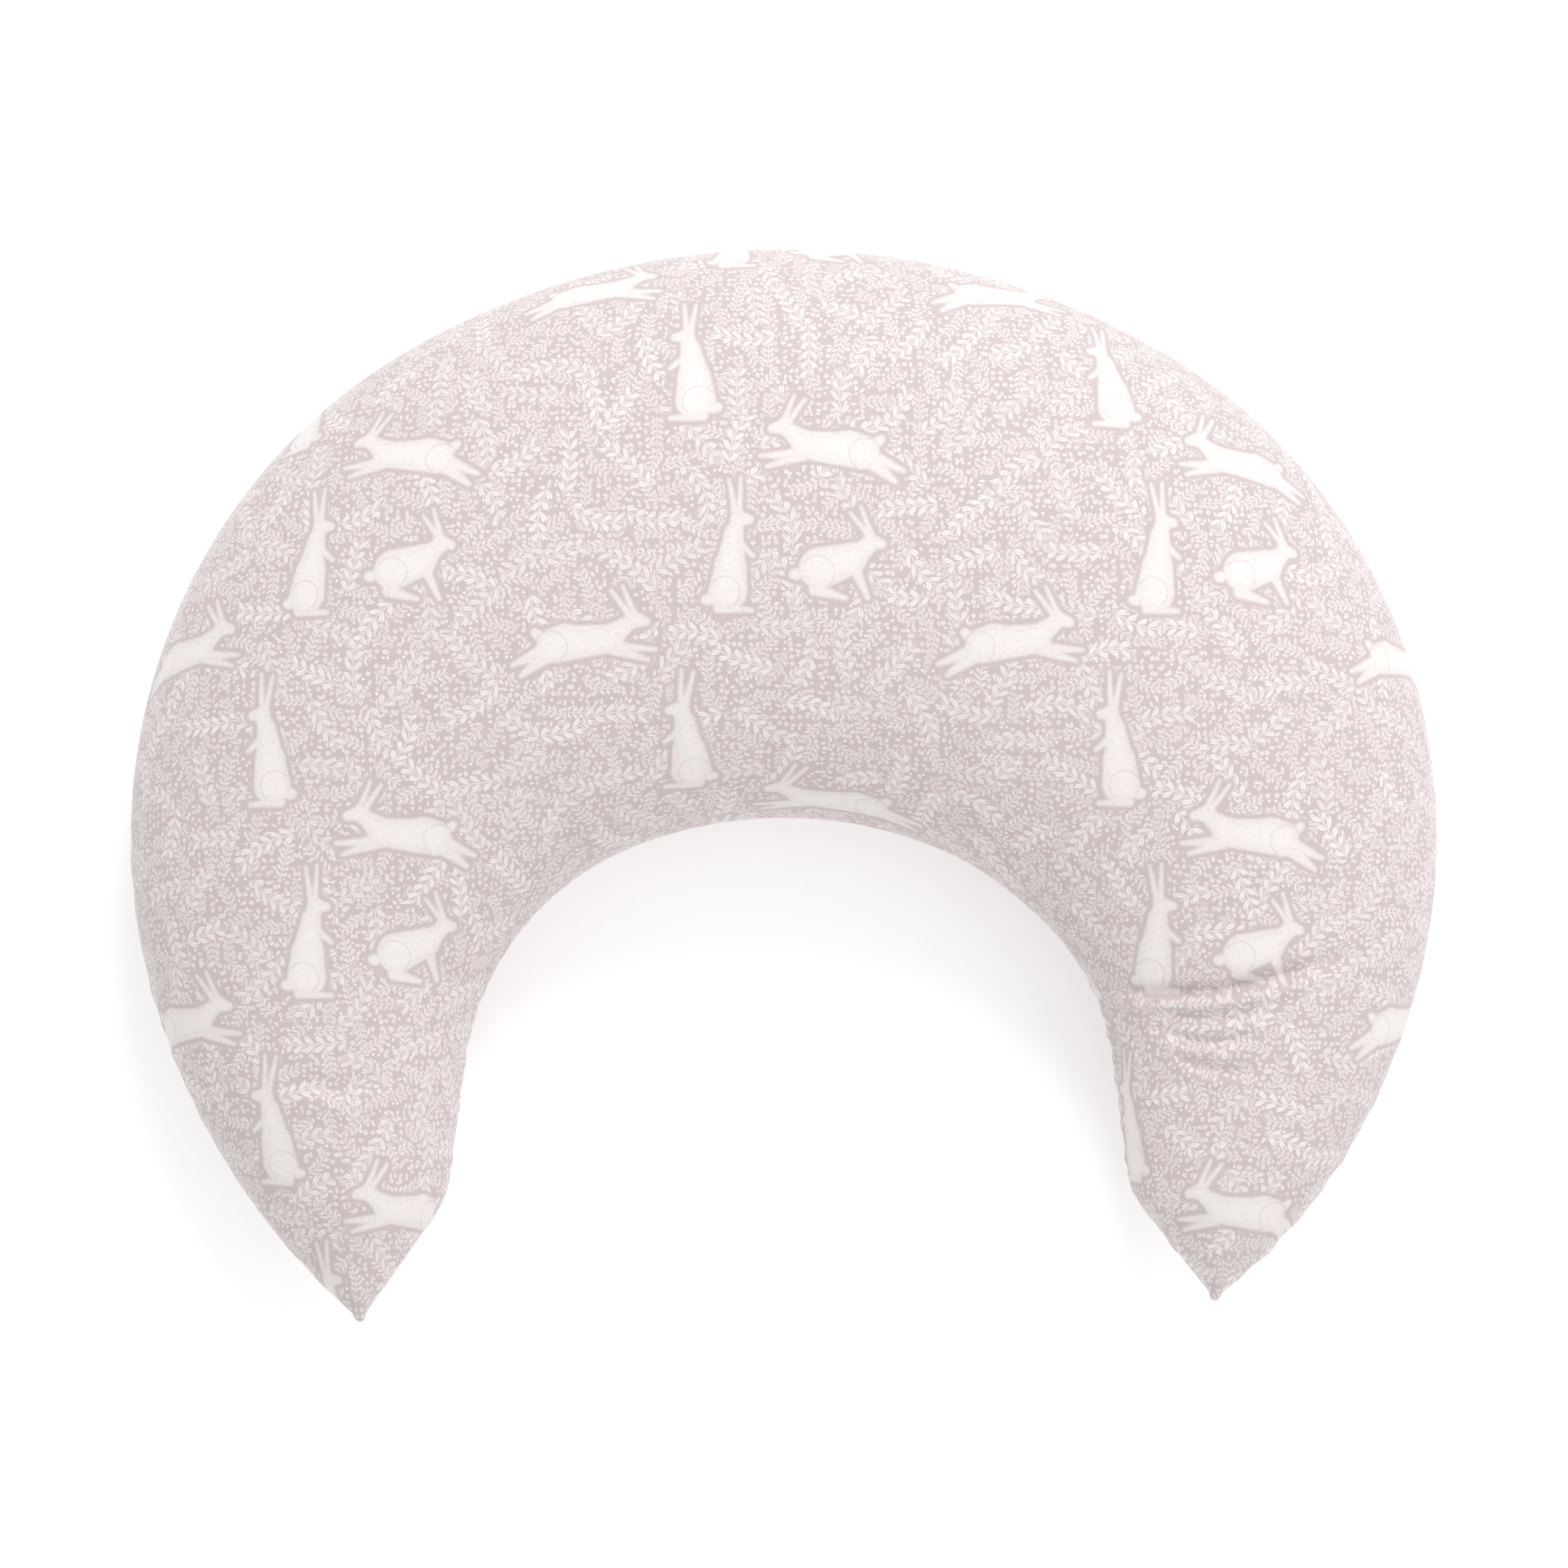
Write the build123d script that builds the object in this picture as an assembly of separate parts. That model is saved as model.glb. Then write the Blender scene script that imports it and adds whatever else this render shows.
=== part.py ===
"""Crescent nursing pillow: a zipped cotton cover over a sewn inner cushion filled with fibre.

Millimetres. +Z is up and the pillow lies on its underside at Z = 0, with the crown towards +Y and the two
horns towards -Y. X = 0 is the mirror plane. The origin is the middle of the footprint.

Every cloth body is lofted through upright ellipses that stand across the crescent, so one set of stations
gives the cover, the liner and the filling by asking for a larger or smaller inset. Both cases are sewn in
the seam plane Z = SEAM_Z, with their seam allowances turned inwards. The zip runs along the crown in the
outer seam, on a true circle, so its slider turns about the centre of that circle.
"""

from build123d import *

import math
import os

# ---- Driving dimensions of the crescent ----------------------------------------------------------
DEPTH = 505.0  # crown to horn tips, along Y
CROWN_Y = DEPTH / 2
MOUTH_Y = CROWN_Y - 268.5  # top of the waist opening

CROWN_R, CROWN_TURN = 355.0, 31.0  # outer outline: four arcs, each tangent to the last (mm, degrees)
SHOULDER_R, SHOULDER_TURN = 258.0, 26.0
FLANK_R, FLANK_TURN = 272.0, 48.0
HORN_R, HORN_TURN = 319.0, 33.1

MOUTH_R, MOUTH_TURN = 191.5, 22.5  # inner outline: two arcs, a straight leg, a corner, the cut end
MOUTH_SIDE_R, MOUTH_SIDE_TURN = 129.0, 59.8
MOUTH_LEG = 56.0
CORNER_R, CORNER_TURN = 40.0, 27.4
HORN_END = 57.5

# ---- Driving dimensions of the filled shape ------------------------------------------------------
CROWN_HALF_WIDTH = 134.2  # half of the distance from crown to mouth
CROWN_HALF_HEIGHT = 83.0
FULLNESS = 0.7  # half height goes with half width to this power
BELLY_Z = 78.0  # height of the widest line at the crown
SEAM_Z = 56.0  # height of the seam plane, and of the horn tips
TIP_HALF_WIDTH = 2.5  # where each loft stops
BELLY_POWER = 3  # how fast the widest line comes down to the seam as the crescent narrows
FACING_BEND = (0.3, 0.85)  # how the inner outline's shares lag behind the outer one's
STATIONS = (0.09, 0.18, 0.27, 0.37, 0.47, 0.57, 0.66, 0.74, 0.81, 0.87, 0.92, 0.955, 0.98)

# ---- Cloth, seams and gaps -----------------------------------------------------------------------
COVER_CLOTH = 1.0
COVER_ALLOWANCE = 10.0  # seam allowance turned in, measured from the outer face
LINER_CLOTH = 0.8
LINER_GAP = (13.5, 2.4)  # liner inside cover: in plan, clear of the allowance, and in height
LINER_ALLOWANCE = 7.0
FILL_GAP = (22.5, 4.6)
SEAM_GAP = 0.6  # each panel's edge to the seam plane
THREAD = 0.5
THREAD_GAP = 0.9
STITCH_IN = 3.2  # stitch line, measured from the outer face of the cloth
CLOSING_COUNT, CLOSING_PITCH_DEG = 24, 1.4  # whip stitches over the filling opening, at the mouth
CLOSING_HEIGHT, CLOSING_LIFT, CLOSING_LEAN_DEG = 4.0, 2.4, 20.0

# ---- Zip -----------------------------------------------------------------------------------------
ZIP_HALF_ANGLE = 27.5  # slot in the crown seam, each side of the mirror plane
SLOT_HALF = 5.0
TAPE_HALF, TAPE_INNER, TAPE_THICK = 13.0, 1.3, 0.6
TAPE_DEPTH = COVER_CLOTH + 1.0  # outer face of the tape under the outer face of the cover
TAPE_OVERRUN = 1.2  # degrees past the slot at each end
TEETH_PITCH, TOOTH_LENGTH = 2.5, 1.0
TEETH_HALF, TOOTH_OVERLAP = 3.0, 0.8
BEAD_WIDTH, TOOTH_ROOT = 1.2, 1.1  # the bead, and where the teeth start in it, from its outer side
TEETH_TOP, TEETH_FOOT = 1.0, -1.15
STOP_LENGTH, STOP_GAP = 2.0, 0.4
SLOT_DEPTH = 14.0
ALLOWANCE_CLEAR = 4.5  # half height of the room behind the cloth at the ends of the tapes
ROOM_GAP, ROOM_OVERRUN = 0.6, 0.4  # that room from the back of the cloth, and past the tape ends in degrees
TOPSTITCH_UP, TOPSTITCH_DOWN = 7.5, -7.0  # rows of stitching over and under the seam plane
TOPSTITCH_LIFT = 1.0

SLIDER_LENGTH, SLIDER_HALF = 10.0, 4.0
WING, WING_CORNER, FOOT_WING_STEP = 1.0, 1.2, 0.4
WING_TOP = TEETH_TOP + 0.2
WING_FOOT = -TAPE_DEPTH - TAPE_THICK - 0.4
POST_LENGTH, POST_HALF = 2.4, 1.0
FLANGE_FOOT, FLANGE_THICK, FLANGE_SHORT = -0.8, 0.7, 1.5
BRIDGE_LENGTH, BRIDGE_HALF, BRIDGE_HOLE, BRIDGE_TOP = 7.0, 1.0, 1.6, 1.0
BRIDGE_LEG, BRIDGE_CORNER = 1.0, 0.9
PULL_LENGTH, PULL_HALF, PULL_THICK, PULL_CORNER = 22.0, 3.2, 1.2, 2.4
PULL_EYE_R, PULL_EYE_IN = 1.6, 4.5
PULL_WINDOW_HALF, PULL_WINDOW_LENGTH = 1.5, 4.4
SLIDER_REST_DEG = 26.2  # closed end, clockwise from +Y seen from above

# ---- Care label ----------------------------------------------------------------------------------
LABEL_WIDTH, LABEL_DROP, LABEL_THICK = 25.0, 32.0, 0.3
LABEL_LIFT, LABEL_TOP = 2.4, 0.6
LABEL_DEG = 31.5  # left of the zip's far end, as an angle on the crown circle

# ---- Reach of the cutting shapes, well past what they cut ----------------------------------------
ABOVE, BELOW, AROUND = 400.0, -60.0, 1000.0
PAST_CLOTH = 8.0
SECTOR = 30.0

CROWN_CENTRE = (0.0, CROWN_Y - CROWN_R)


# ---- Outlines in plan ----------------------------------------------------------------------------
def arc_leg(radius, turn_deg):
    """One arc of an outline as (length, curvature); a negative turn bends the other way."""
    return radius * math.radians(abs(turn_deg)), math.copysign(1 / radius, turn_deg)


def line_leg(length):
    return length, 0.0


OUTER = [
    arc_leg(CROWN_R, CROWN_TURN),
    arc_leg(SHOULDER_R, SHOULDER_TURN),
    arc_leg(FLANK_R, FLANK_TURN),
    arc_leg(HORN_R, HORN_TURN),
]
INNER = [
    arc_leg(MOUTH_R, MOUTH_TURN),
    arc_leg(MOUTH_SIDE_R, MOUTH_SIDE_TURN),
    line_leg(MOUTH_LEG),
    arc_leg(CORNER_R, -CORNER_TURN),
    line_leg(HORN_END),
]


def walk(start_y, legs, share):
    """The point at a share of an outline's length. It starts on the mirror plane, heading for +X."""
    left = share * sum(length for length, _ in legs)
    x, y, heading = 0.0, start_y, 0.0
    for length, curve in legs:
        step = min(left, length)
        turn = step * curve
        chord = step if abs(turn) < 1e-9 else 2 / abs(curve) * math.sin(abs(turn) / 2)
        x += chord * math.cos(heading + turn / 2)
        y -= chord * math.sin(heading + turn / 2)
        heading += turn
        left -= step
    return x, y


def inner_share(share):
    """Which share of the inner outline faces a share of the outer one, square across the crescent."""
    start, growth = FACING_BEND
    return share - share * (1 - share) * (start + growth * share)


def half_width(share):
    return math.dist(walk(CROWN_Y, OUTER, share), walk(MOUTH_Y, INNER, inner_share(share))) / 2


# ---- Ellipses across the crescent ----------------------------------------------------------------
def section(share, side, inset):
    """The ellipse at a share of the way from crown to tip.

    side is +1 on the right and -1 on the left; inset is (plan, height).
    """
    ox, oy = walk(CROWN_Y, OUTER, share)
    ix, iy = walk(MOUTH_Y, INNER, inner_share(share))
    half = math.dist((ox, oy), (ix, iy)) / 2
    height = CROWN_HALF_HEIGHT * (half / CROWN_HALF_WIDTH) ** FULLNESS
    belly = SEAM_Z + (BELLY_Z - SEAM_Z) * (half / CROWN_HALF_WIDTH) ** BELLY_POWER
    rung = Vector(side * (ox - ix), oy - iy, 0).normalized()
    plane = Plane(
        origin=(side * (ox + ix) / 2, (oy + iy) / 2, belly),
        x_dir=rung,
        z_dir=rung.cross(Vector(0, 0, 1)),
    )
    pinch = math.sqrt(1 - (max(inset[0], 0) / half) ** 2)
    return plane * Ellipse(half - inset[0], (height - inset[1]) * pinch)


def last_share(inset):
    """The share at which the inset half width has come down to the tip's."""
    low, high = 0.8, 1.0
    for _ in range(40):
        middle = (low + high) / 2
        if half_width(middle) - inset > TIP_HALF_WIDTH:
            low = middle
        else:
            high = middle
    return low


def crescent(plan_inset, height_inset, floor):
    """A crescent inset from the cover's outer face and cut flat at the floor height."""
    inset = (plan_inset, height_inset)
    end = last_share(plan_inset)
    right = [s for s in STATIONS if s < end - 0.008] + [end]
    sections = [section(s, -1, inset) for s in reversed(right)]
    sections += [section(0.0, 1, inset)]
    sections += [section(s, 1, inset) for s in right]
    return loft(sections) - slab(BELOW, floor)


def slab(low, high):
    """Everything between two heights."""
    return Pos(0, 0, (low + high) / 2) * Box(AROUND, AROUND, high - low)


# ---- Sweeps about the crown circle's axis --------------------------------------------------------
def seam_frame():
    """Radius of the cover's face in the seam plane at the crown, and how many degrees it looks down."""
    drop = (SEAM_Z - BELLY_Z) / CROWN_HALF_HEIGHT
    along = math.sqrt(1 - drop**2)
    radius = CROWN_R - CROWN_HALF_WIDTH * (1 - along)
    tilt = math.degrees(math.atan2(-drop / CROWN_HALF_HEIGHT, along / CROWN_HALF_WIDTH))
    return radius, tilt


SEAM_RADIUS, SEAM_TILT = seam_frame()
SEAM_LOCATION = Location((SEAM_RADIUS, SEAM_Z, 0)) * Location((0, 0, 0), (0, 0, -SEAM_TILT))


def block(n_low, n_high, v_low, v_high):
    """A rectangle in the (radius, Z) plane, in the seam's frame: n out of the cloth, v up along it."""
    centre = Location(((n_low + n_high) / 2, (v_low + v_high) / 2, 0))
    return SEAM_LOCATION * centre * Rectangle(n_high - n_low, v_high - v_low)


def cloth_band(outset_low, outset_high):
    """The crown section's skin between two outsets from the cover's face, in the (radius, Z) plane."""
    centre = Location((CROWN_R - CROWN_HALF_WIDTH, BELLY_Z, 0))
    rings = [Ellipse(CROWN_HALF_WIDTH + o, CROWN_HALF_HEIGHT + o) for o in (outset_low, outset_high)]
    return centre * (rings[1] - rings[0])


def swept(profile, from_deg, to_deg):
    """Turns a (radius, Z) profile about the crown circle's axis, with angles clockwise from +Y."""
    solid = revolve(Plane.XZ * profile, axis=Axis.Z, revolution_arc=to_deg - from_deg)
    return Pos(*CROWN_CENTRE, 0) * Rot(0, 0, 90 - to_deg) * solid


def zip_sector(half_angle):
    """The piece of the crown round the zip, out to an angle each side of the mirror plane."""
    return swept(block(-SECTOR, SECTOR, -SECTOR, SECTOR), -half_angle, half_angle)


def at_crown(shape, degrees):
    """Places a shape built in the zip's own frame: X out of the cloth, Z up along it, Y along the chain."""
    tilted = Pos(SEAM_RADIUS, 0, SEAM_Z) * Rot(0, SEAM_TILT, 0) * shape
    return Pos(*CROWN_CENTRE, 0) * Rot(0, 0, 90 - degrees) * tilted


def zip_box(n_low, n_high, length_low, length_high, v_low, v_high):
    centre = ((n_low + n_high) / 2, (length_low + length_high) / 2, (v_low + v_high) / 2)
    return Pos(*centre) * Box(n_high - n_low, length_high - length_low, v_high - v_low)


# ---- Sewn cases ----------------------------------------------------------------------------------
def sewn_case(gap, cloth, allowance):
    """Top panel, bottom panel and the two threads of a case sewn round its whole edge."""
    plan, height = gap
    outside = crescent(plan, height, height)
    inside = crescent(plan + cloth, height + cloth, height + cloth)
    free_edge = crescent(plan + allowance, height + cloth, height + cloth)
    upper, lower = slab(SEAM_Z + SEAM_GAP, ABOVE), slab(BELOW, SEAM_Z - SEAM_GAP)
    over_edge, under_edge = SEAM_Z + SEAM_GAP + cloth, SEAM_Z - SEAM_GAP - cloth
    hollow_up = (inside & slab(over_edge, ABOVE)) + (free_edge & upper)
    hollow_down = (inside & slab(BELOW, under_edge)) + (free_edge & lower)
    top = (outside & upper) - hollow_up
    bottom = (outside & lower) - hollow_down

    line = plan + STITCH_IN
    ring = crescent(line, height + cloth, height) - crescent(line + THREAD, height + cloth, height)
    needle = ring & slab(over_edge + THREAD_GAP, over_edge + THREAD_GAP + THREAD)
    bobbin = ring & slab(under_edge - THREAD_GAP - THREAD, under_edge - THREAD_GAP)
    return top, bottom, needle, bobbin


def make_cover():
    """The cover's sewn case with the zip's slot, and room for the tape ends behind the cloth."""
    top, bottom, needle, bobbin = sewn_case((0, 0), COVER_CLOTH, COVER_ALLOWANCE)
    slot = swept(block(-SLOT_DEPTH, PAST_CLOTH, -SLOT_HALF, SLOT_HALF), -ZIP_HALF_ANGLE, ZIP_HALF_ANGLE)
    past = ZIP_HALF_ANGLE + TAPE_OVERRUN + ROOM_OVERRUN
    behind = block(-SLOT_DEPTH, -COVER_CLOTH - ROOM_GAP, -ALLOWANCE_CLEAR, ALLOWANCE_CLEAR)
    room = swept(behind, -past, past)
    return top - slot - room, bottom - slot - room, needle - zip_sector(past), bobbin - zip_sector(past)


def make_closing_stitches():
    """Whip stitches over the liner's seam at the mouth, where the filling went in."""
    plan, height = LINER_GAP
    half = CROWN_HALF_WIDTH - plan
    drop = (BELLY_Z - SEAM_Z) / (CROWN_HALF_HEIGHT - height)
    face = MOUTH_R + plan + half * (1 - math.sqrt(1 - drop**2))
    stitches = []
    for k in range(CLOSING_COUNT):
        turn = 90 + (k - (CLOSING_COUNT - 1) / 2) * CLOSING_PITCH_DEG
        stitch = Rot(CLOSING_LEAN_DEG, 0, 0) * Box(THREAD, THREAD, CLOSING_HEIGHT)
        stitch = Pos(face - CLOSING_LIFT, 0, SEAM_Z) * stitch
        stitches.append(Pos(0, MOUTH_Y - MOUTH_R, 0) * Rot(0, 0, turn) * stitch)
    return Compound(stitches)


# ---- Zip parts -----------------------------------------------------------------------------------
def make_tape(side):
    """side is +1 for the tape under the top panel, -1 for the one under the bottom panel."""
    low, high = sorted((side * TAPE_INNER, side * TAPE_HALF))
    profile = cloth_band(-TAPE_DEPTH - TAPE_THICK, -TAPE_DEPTH) & block(-PAST_CLOTH, PAST_CLOTH, low, high)
    past = ZIP_HALF_ANGLE + TAPE_OVERRUN
    return swept(profile, -past, past)


def make_teeth(side):
    """A toothed bead on the tape's edge, with teeth that reach between those of the other bead."""
    arc = math.degrees(TEETH_PITCH / SEAM_RADIUS)
    tooth_arc = math.degrees(TOOTH_LENGTH / SEAM_RADIUS)
    first = -ZIP_HALF_ANGLE + math.degrees(STOP_LENGTH / SEAM_RADIUS) + arc
    last = SLIDER_REST_DEG + math.degrees(TOOTH_LENGTH / 2 / SEAM_RADIUS)
    count = int((last - first) / arc)
    low, high = sorted((side * TEETH_HALF, side * (TEETH_HALF - BEAD_WIDTH)))
    bead = swept(block(TEETH_FOOT, TEETH_TOP, low, high), first - arc / 4, first + (count - 0.25) * arc)
    low, high = sorted((side * (TEETH_HALF - TOOTH_ROOT), -side * TOOTH_OVERLAP))
    tooth_profile = block(TEETH_FOOT, TEETH_TOP, low, high)
    shift = 0.0 if side > 0 else arc / 2
    teeth = [
        swept(tooth_profile, first + k * arc + shift - tooth_arc / 2, first + k * arc + shift + tooth_arc / 2)
        for k in range(count)
    ]
    return bead.fuse(*teeth)


def make_stops():
    """Two top stops past the closed slider, one on each tape, and one bottom stop across both."""
    stop_arc = math.degrees(STOP_LENGTH / SEAM_RADIUS)
    start = SLIDER_REST_DEG + math.degrees((SLIDER_LENGTH / 2 + STOP_GAP) / SEAM_RADIUS)
    tops = [
        swept(block(TEETH_FOOT, TEETH_TOP, low, high), start, start + stop_arc)
        for low, high in ((TAPE_INNER, TEETH_HALF), (-TEETH_HALF, -TAPE_INNER))
    ]
    foot = -ZIP_HALF_ANGLE + math.degrees(STOP_GAP / SEAM_RADIUS)
    bottom = swept(block(TEETH_FOOT, TEETH_TOP, -TEETH_HALF, TEETH_HALF), foot, foot + stop_arc)
    return Compound(tops), bottom


def make_slider():
    """Two wings joined by a post at the mouth, side flanges, and the bridge that holds the pull."""
    half = SLIDER_LENGTH / 2
    top_wing = zip_box(WING_TOP, WING_TOP + WING, -half, half, -SLIDER_HALF, SLIDER_HALF)
    top_wing = chamfer(top_wing.edges().filter_by(Axis.X), WING_CORNER)
    foot_half = SLIDER_HALF - FOOT_WING_STEP
    foot_wing = zip_box(WING_FOOT - WING, WING_FOOT, -half, half, -foot_half, foot_half)
    foot_wing = chamfer(foot_wing.edges().filter_by(Axis.X), WING_CORNER)
    post = zip_box(WING_FOOT, WING_TOP, -half, -half + POST_LENGTH, -POST_HALF, POST_HALF)
    flanges = [
        zip_box(FLANGE_FOOT, WING_TOP, -half + FLANGE_SHORT, half - FLANGE_SHORT, low, low + FLANGE_THICK)
        for low in (-SLIDER_HALF, SLIDER_HALF - FLANGE_THICK)
    ]
    base = WING_TOP + WING
    end = BRIDGE_LENGTH / 2
    bridge = zip_box(base, base + BRIDGE_HOLE + BRIDGE_TOP, -end, end, -BRIDGE_HALF, BRIDGE_HALF)
    bridge = chamfer(bridge.edges().filter_by(Axis.Z).group_by(Axis.X)[-1], BRIDGE_CORNER)
    eye_end = end - BRIDGE_LEG
    eye = zip_box(base, base + BRIDGE_HOLE, -eye_end, eye_end, -SLIDER_HALF, SLIDER_HALF)
    body = top_wing + foot_wing + post + flanges[0] + flanges[1] + (bridge - eye)
    return at_crown(body, SLIDER_REST_DEG)


def pull_axis_height():
    """Height of the pull's pin above the cloth, in the middle of the bridge's eye."""
    return WING_TOP + WING + BRIDGE_HOLE / 2


def make_pull():
    """A flat tab that hangs from the bridge by a round pin and lies back along the closed chain."""
    level = pull_axis_height()
    half = PULL_THICK / 2
    tab = zip_box(level - half, level + half, 0, PULL_LENGTH, -PULL_HALF, PULL_HALF)
    tab = fillet(tab.edges().filter_by(Axis.X).group_by(Axis.Y)[-1], PULL_CORNER)
    pin = Pos(level, 0, 0) * Cylinder(half, 2 * PULL_HALF)
    low, high = level - PULL_THICK, level + PULL_THICK
    window = zip_box(low, high, -PULL_THICK, PULL_WINDOW_LENGTH, -PULL_WINDOW_HALF, PULL_WINDOW_HALF)
    hole = Pos(level, PULL_LENGTH - PULL_EYE_IN, 0) * Rot(0, 90, 0) * Cylinder(PULL_EYE_R, 2 * PULL_THICK)
    body = (tab - window - hole) + pin
    return at_crown(body, SLIDER_REST_DEG)


def make_topstitch(height):
    """The row of stitching that holds one side of the zip, just off the face of the panel."""
    lift = TOPSTITCH_LIFT
    skin = crescent(-lift - THREAD, -lift - THREAD, 0) - crescent(-lift, -lift, 0)
    row = slab(SEAM_Z + height, SEAM_Z + height + THREAD)
    return skin & row & zip_sector(ZIP_HALF_ANGLE + TAPE_OVERRUN / 2)


# ---- Care label ----------------------------------------------------------------------------------
def make_label():
    """A folded ribbon that hangs from the seam over the underside; both leaves and the fold are one piece."""
    half = LABEL_WIDTH / 2
    outer = LABEL_LIFT + 3 * LABEL_THICK
    ribbon = zip_box(LABEL_LIFT, outer, -half, half, -LABEL_DROP, -LABEL_TOP)
    low, high = LABEL_LIFT + LABEL_THICK, outer - LABEL_THICK
    between = zip_box(low, high, -LABEL_WIDTH, LABEL_WIDTH, -LABEL_DROP + LABEL_THICK, LABEL_TOP)
    return at_crown(ribbon - between, -LABEL_DEG)


# ---- Build ---------------------------------------------------------------------------------------
def build():
    cover_top, cover_bottom, cover_needle, cover_bobbin = make_cover()
    liner_top, liner_bottom, liner_needle, liner_bobbin = sewn_case(LINER_GAP, LINER_CLOTH, LINER_ALLOWANCE)
    top_stops, bottom_stop = make_stops()
    return {
        "cover_top_panel": cover_top,
        "cover_bottom_panel": cover_bottom,
        "cover_needle_thread": cover_needle,
        "cover_bobbin_thread": cover_bobbin,
        "zip_tape_upper": make_tape(1),
        "zip_tape_lower": make_tape(-1),
        "zip_teeth_upper": make_teeth(1),
        "zip_teeth_lower": make_teeth(-1),
        "zip_top_stops": top_stops,
        "zip_bottom_stop": bottom_stop,
        "zip_topstitch_upper": make_topstitch(TOPSTITCH_UP),
        "zip_topstitch_lower": make_topstitch(TOPSTITCH_DOWN),
        "zip_slider": make_slider(),
        "zip_pull": make_pull(),
        "care_label": make_label(),
        "liner_top_panel": liner_top,
        "liner_bottom_panel": liner_bottom,
        "liner_needle_thread": liner_needle,
        "liner_bobbin_thread": liner_bobbin,
        "liner_closing_stitches": make_closing_stitches(),
        "fibre_fill": crescent(*FILL_GAP, FILL_GAP[1]),
    }


os.makedirs("parts", exist_ok=True)
for node, shape in build().items():
    export_step(shape, f"parts/{node}.step")
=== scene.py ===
"""Looks of the crescent nursing pillow: printed cotton cover, zip, label, inner cushion and filling.

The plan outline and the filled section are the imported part's own arcs and ellipses, in millimetres of the
part, scaled to its box. Every cloth piece is a grid: stations from the left horn tip to the right one, and
points across each station.
"""

import math

import bpy
import numpy as np
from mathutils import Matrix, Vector


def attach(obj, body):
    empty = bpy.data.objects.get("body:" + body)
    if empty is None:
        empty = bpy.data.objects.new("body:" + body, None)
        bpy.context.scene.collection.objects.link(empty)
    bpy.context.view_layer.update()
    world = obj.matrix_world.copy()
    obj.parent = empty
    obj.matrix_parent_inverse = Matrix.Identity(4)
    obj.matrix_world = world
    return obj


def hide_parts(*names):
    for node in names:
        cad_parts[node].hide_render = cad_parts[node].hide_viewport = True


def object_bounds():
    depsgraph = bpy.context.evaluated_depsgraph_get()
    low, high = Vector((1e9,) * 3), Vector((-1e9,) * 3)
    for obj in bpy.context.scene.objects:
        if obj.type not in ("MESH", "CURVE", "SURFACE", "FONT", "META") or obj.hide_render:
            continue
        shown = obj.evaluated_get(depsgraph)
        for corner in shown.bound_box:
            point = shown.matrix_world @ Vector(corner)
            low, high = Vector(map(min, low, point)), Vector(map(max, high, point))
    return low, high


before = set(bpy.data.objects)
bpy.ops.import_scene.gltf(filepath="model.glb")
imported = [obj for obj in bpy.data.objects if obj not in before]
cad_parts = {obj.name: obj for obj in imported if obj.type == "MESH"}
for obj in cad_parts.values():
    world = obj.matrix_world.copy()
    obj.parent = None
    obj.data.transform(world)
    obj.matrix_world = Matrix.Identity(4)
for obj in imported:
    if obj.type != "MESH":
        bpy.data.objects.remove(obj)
CAD_LOW, CAD_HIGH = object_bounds()

# ---- The part's driving dimensions, in millimetres ---------------
WIDTH, DEPTH = 620.4, 505.0
MM = (CAD_HIGH[0] - CAD_LOW[0]) / WIDTH  # one of them in metres
CROWN_Y, MOUTH_Y = DEPTH / 2, DEPTH / 2 - 268.5
CROWN_R, MOUTH_R = 355.0, 191.5
HALF_WIDTH, HALF_HEIGHT = 134.2, 83.0
FULLNESS, BELLY_POWER = 0.7, 3
BELLY_Z, SEAM_Z = 78.0, 56.0
ZIP_HALF_ANGLE, SLOT_HALF = 27.5, 5.0
TIP_ROUNDING = 4.0
LINER_INSET, LINER_FLOOR = 13.5, 2.4
FILL_INSET, FILL_FLOOR = 22.5, 4.6
FLOOR_SOFTNESS, FLOOR_SINK = 3.0, 0.3
# How far the mouth side's stations lag behind those of the outer side.
INNER_LAG, INNER_LAG_GROWTH = 0.3, 0.85
# The right horn is a little shorter than the left one, and its inner edge stands further out.
RIGHT_TIP_FROM, RIGHT_TIP_SHIFT, RIGHT_TIP_POWER = 0.82, (3.3, 10.0), 1.4
RIGHT_INNER_FROM, RIGHT_INNER_RUN, RIGHT_INNER_SHIFT = 0.5, 0.2, (4.8, 0.0)
OUTLINE_POINTS = 4001
STEEPEST = 0.95  # largest sine of a seam's angle on its ellipse
ARC_REACH, ARC_POINTS = 2.4, 241  # the print's arc lengths: radians each way from the middle, and samples


def arc(radius, turn_deg):
    """One arc of an outline as (length, curvature)."""
    return radius * math.radians(abs(turn_deg)), math.copysign(1 / radius, turn_deg)


OUTER = [arc(CROWN_R, 31), arc(258, 26), arc(272, 48), arc(319, 33.1)]
INNER = [arc(MOUTH_R, 22.5), arc(129, 59.8), (56, 0), arc(40, -27.4), (57.5, 0)]
OUTER_LENGTH = sum(length for length, _ in OUTER)


# ---- The filled crescent -----------------------------------------
def outline(start_y, legs, shares):
    """Points at shares of an outline's length. It starts on X = 0, heading for +X."""
    ends = np.cumsum([0] + [length for length, _ in legs])
    s = np.linspace(0, ends[-1], OUTLINE_POINTS)
    turned_by = np.cumsum([0] + [length * bend for length, bend in legs])
    heading = np.interp(s, ends, turned_by)
    step = s[1]
    middle = (heading[1:] + heading[:-1]) / 2
    x = np.concatenate([[0], np.cumsum(np.cos(middle) * step)])
    y = start_y - np.concatenate([[0], np.cumsum(np.sin(middle) * step)])
    at = shares * ends[-1]
    return np.stack([np.interp(at, s, x), np.interp(at, s, y)], -1)


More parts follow.
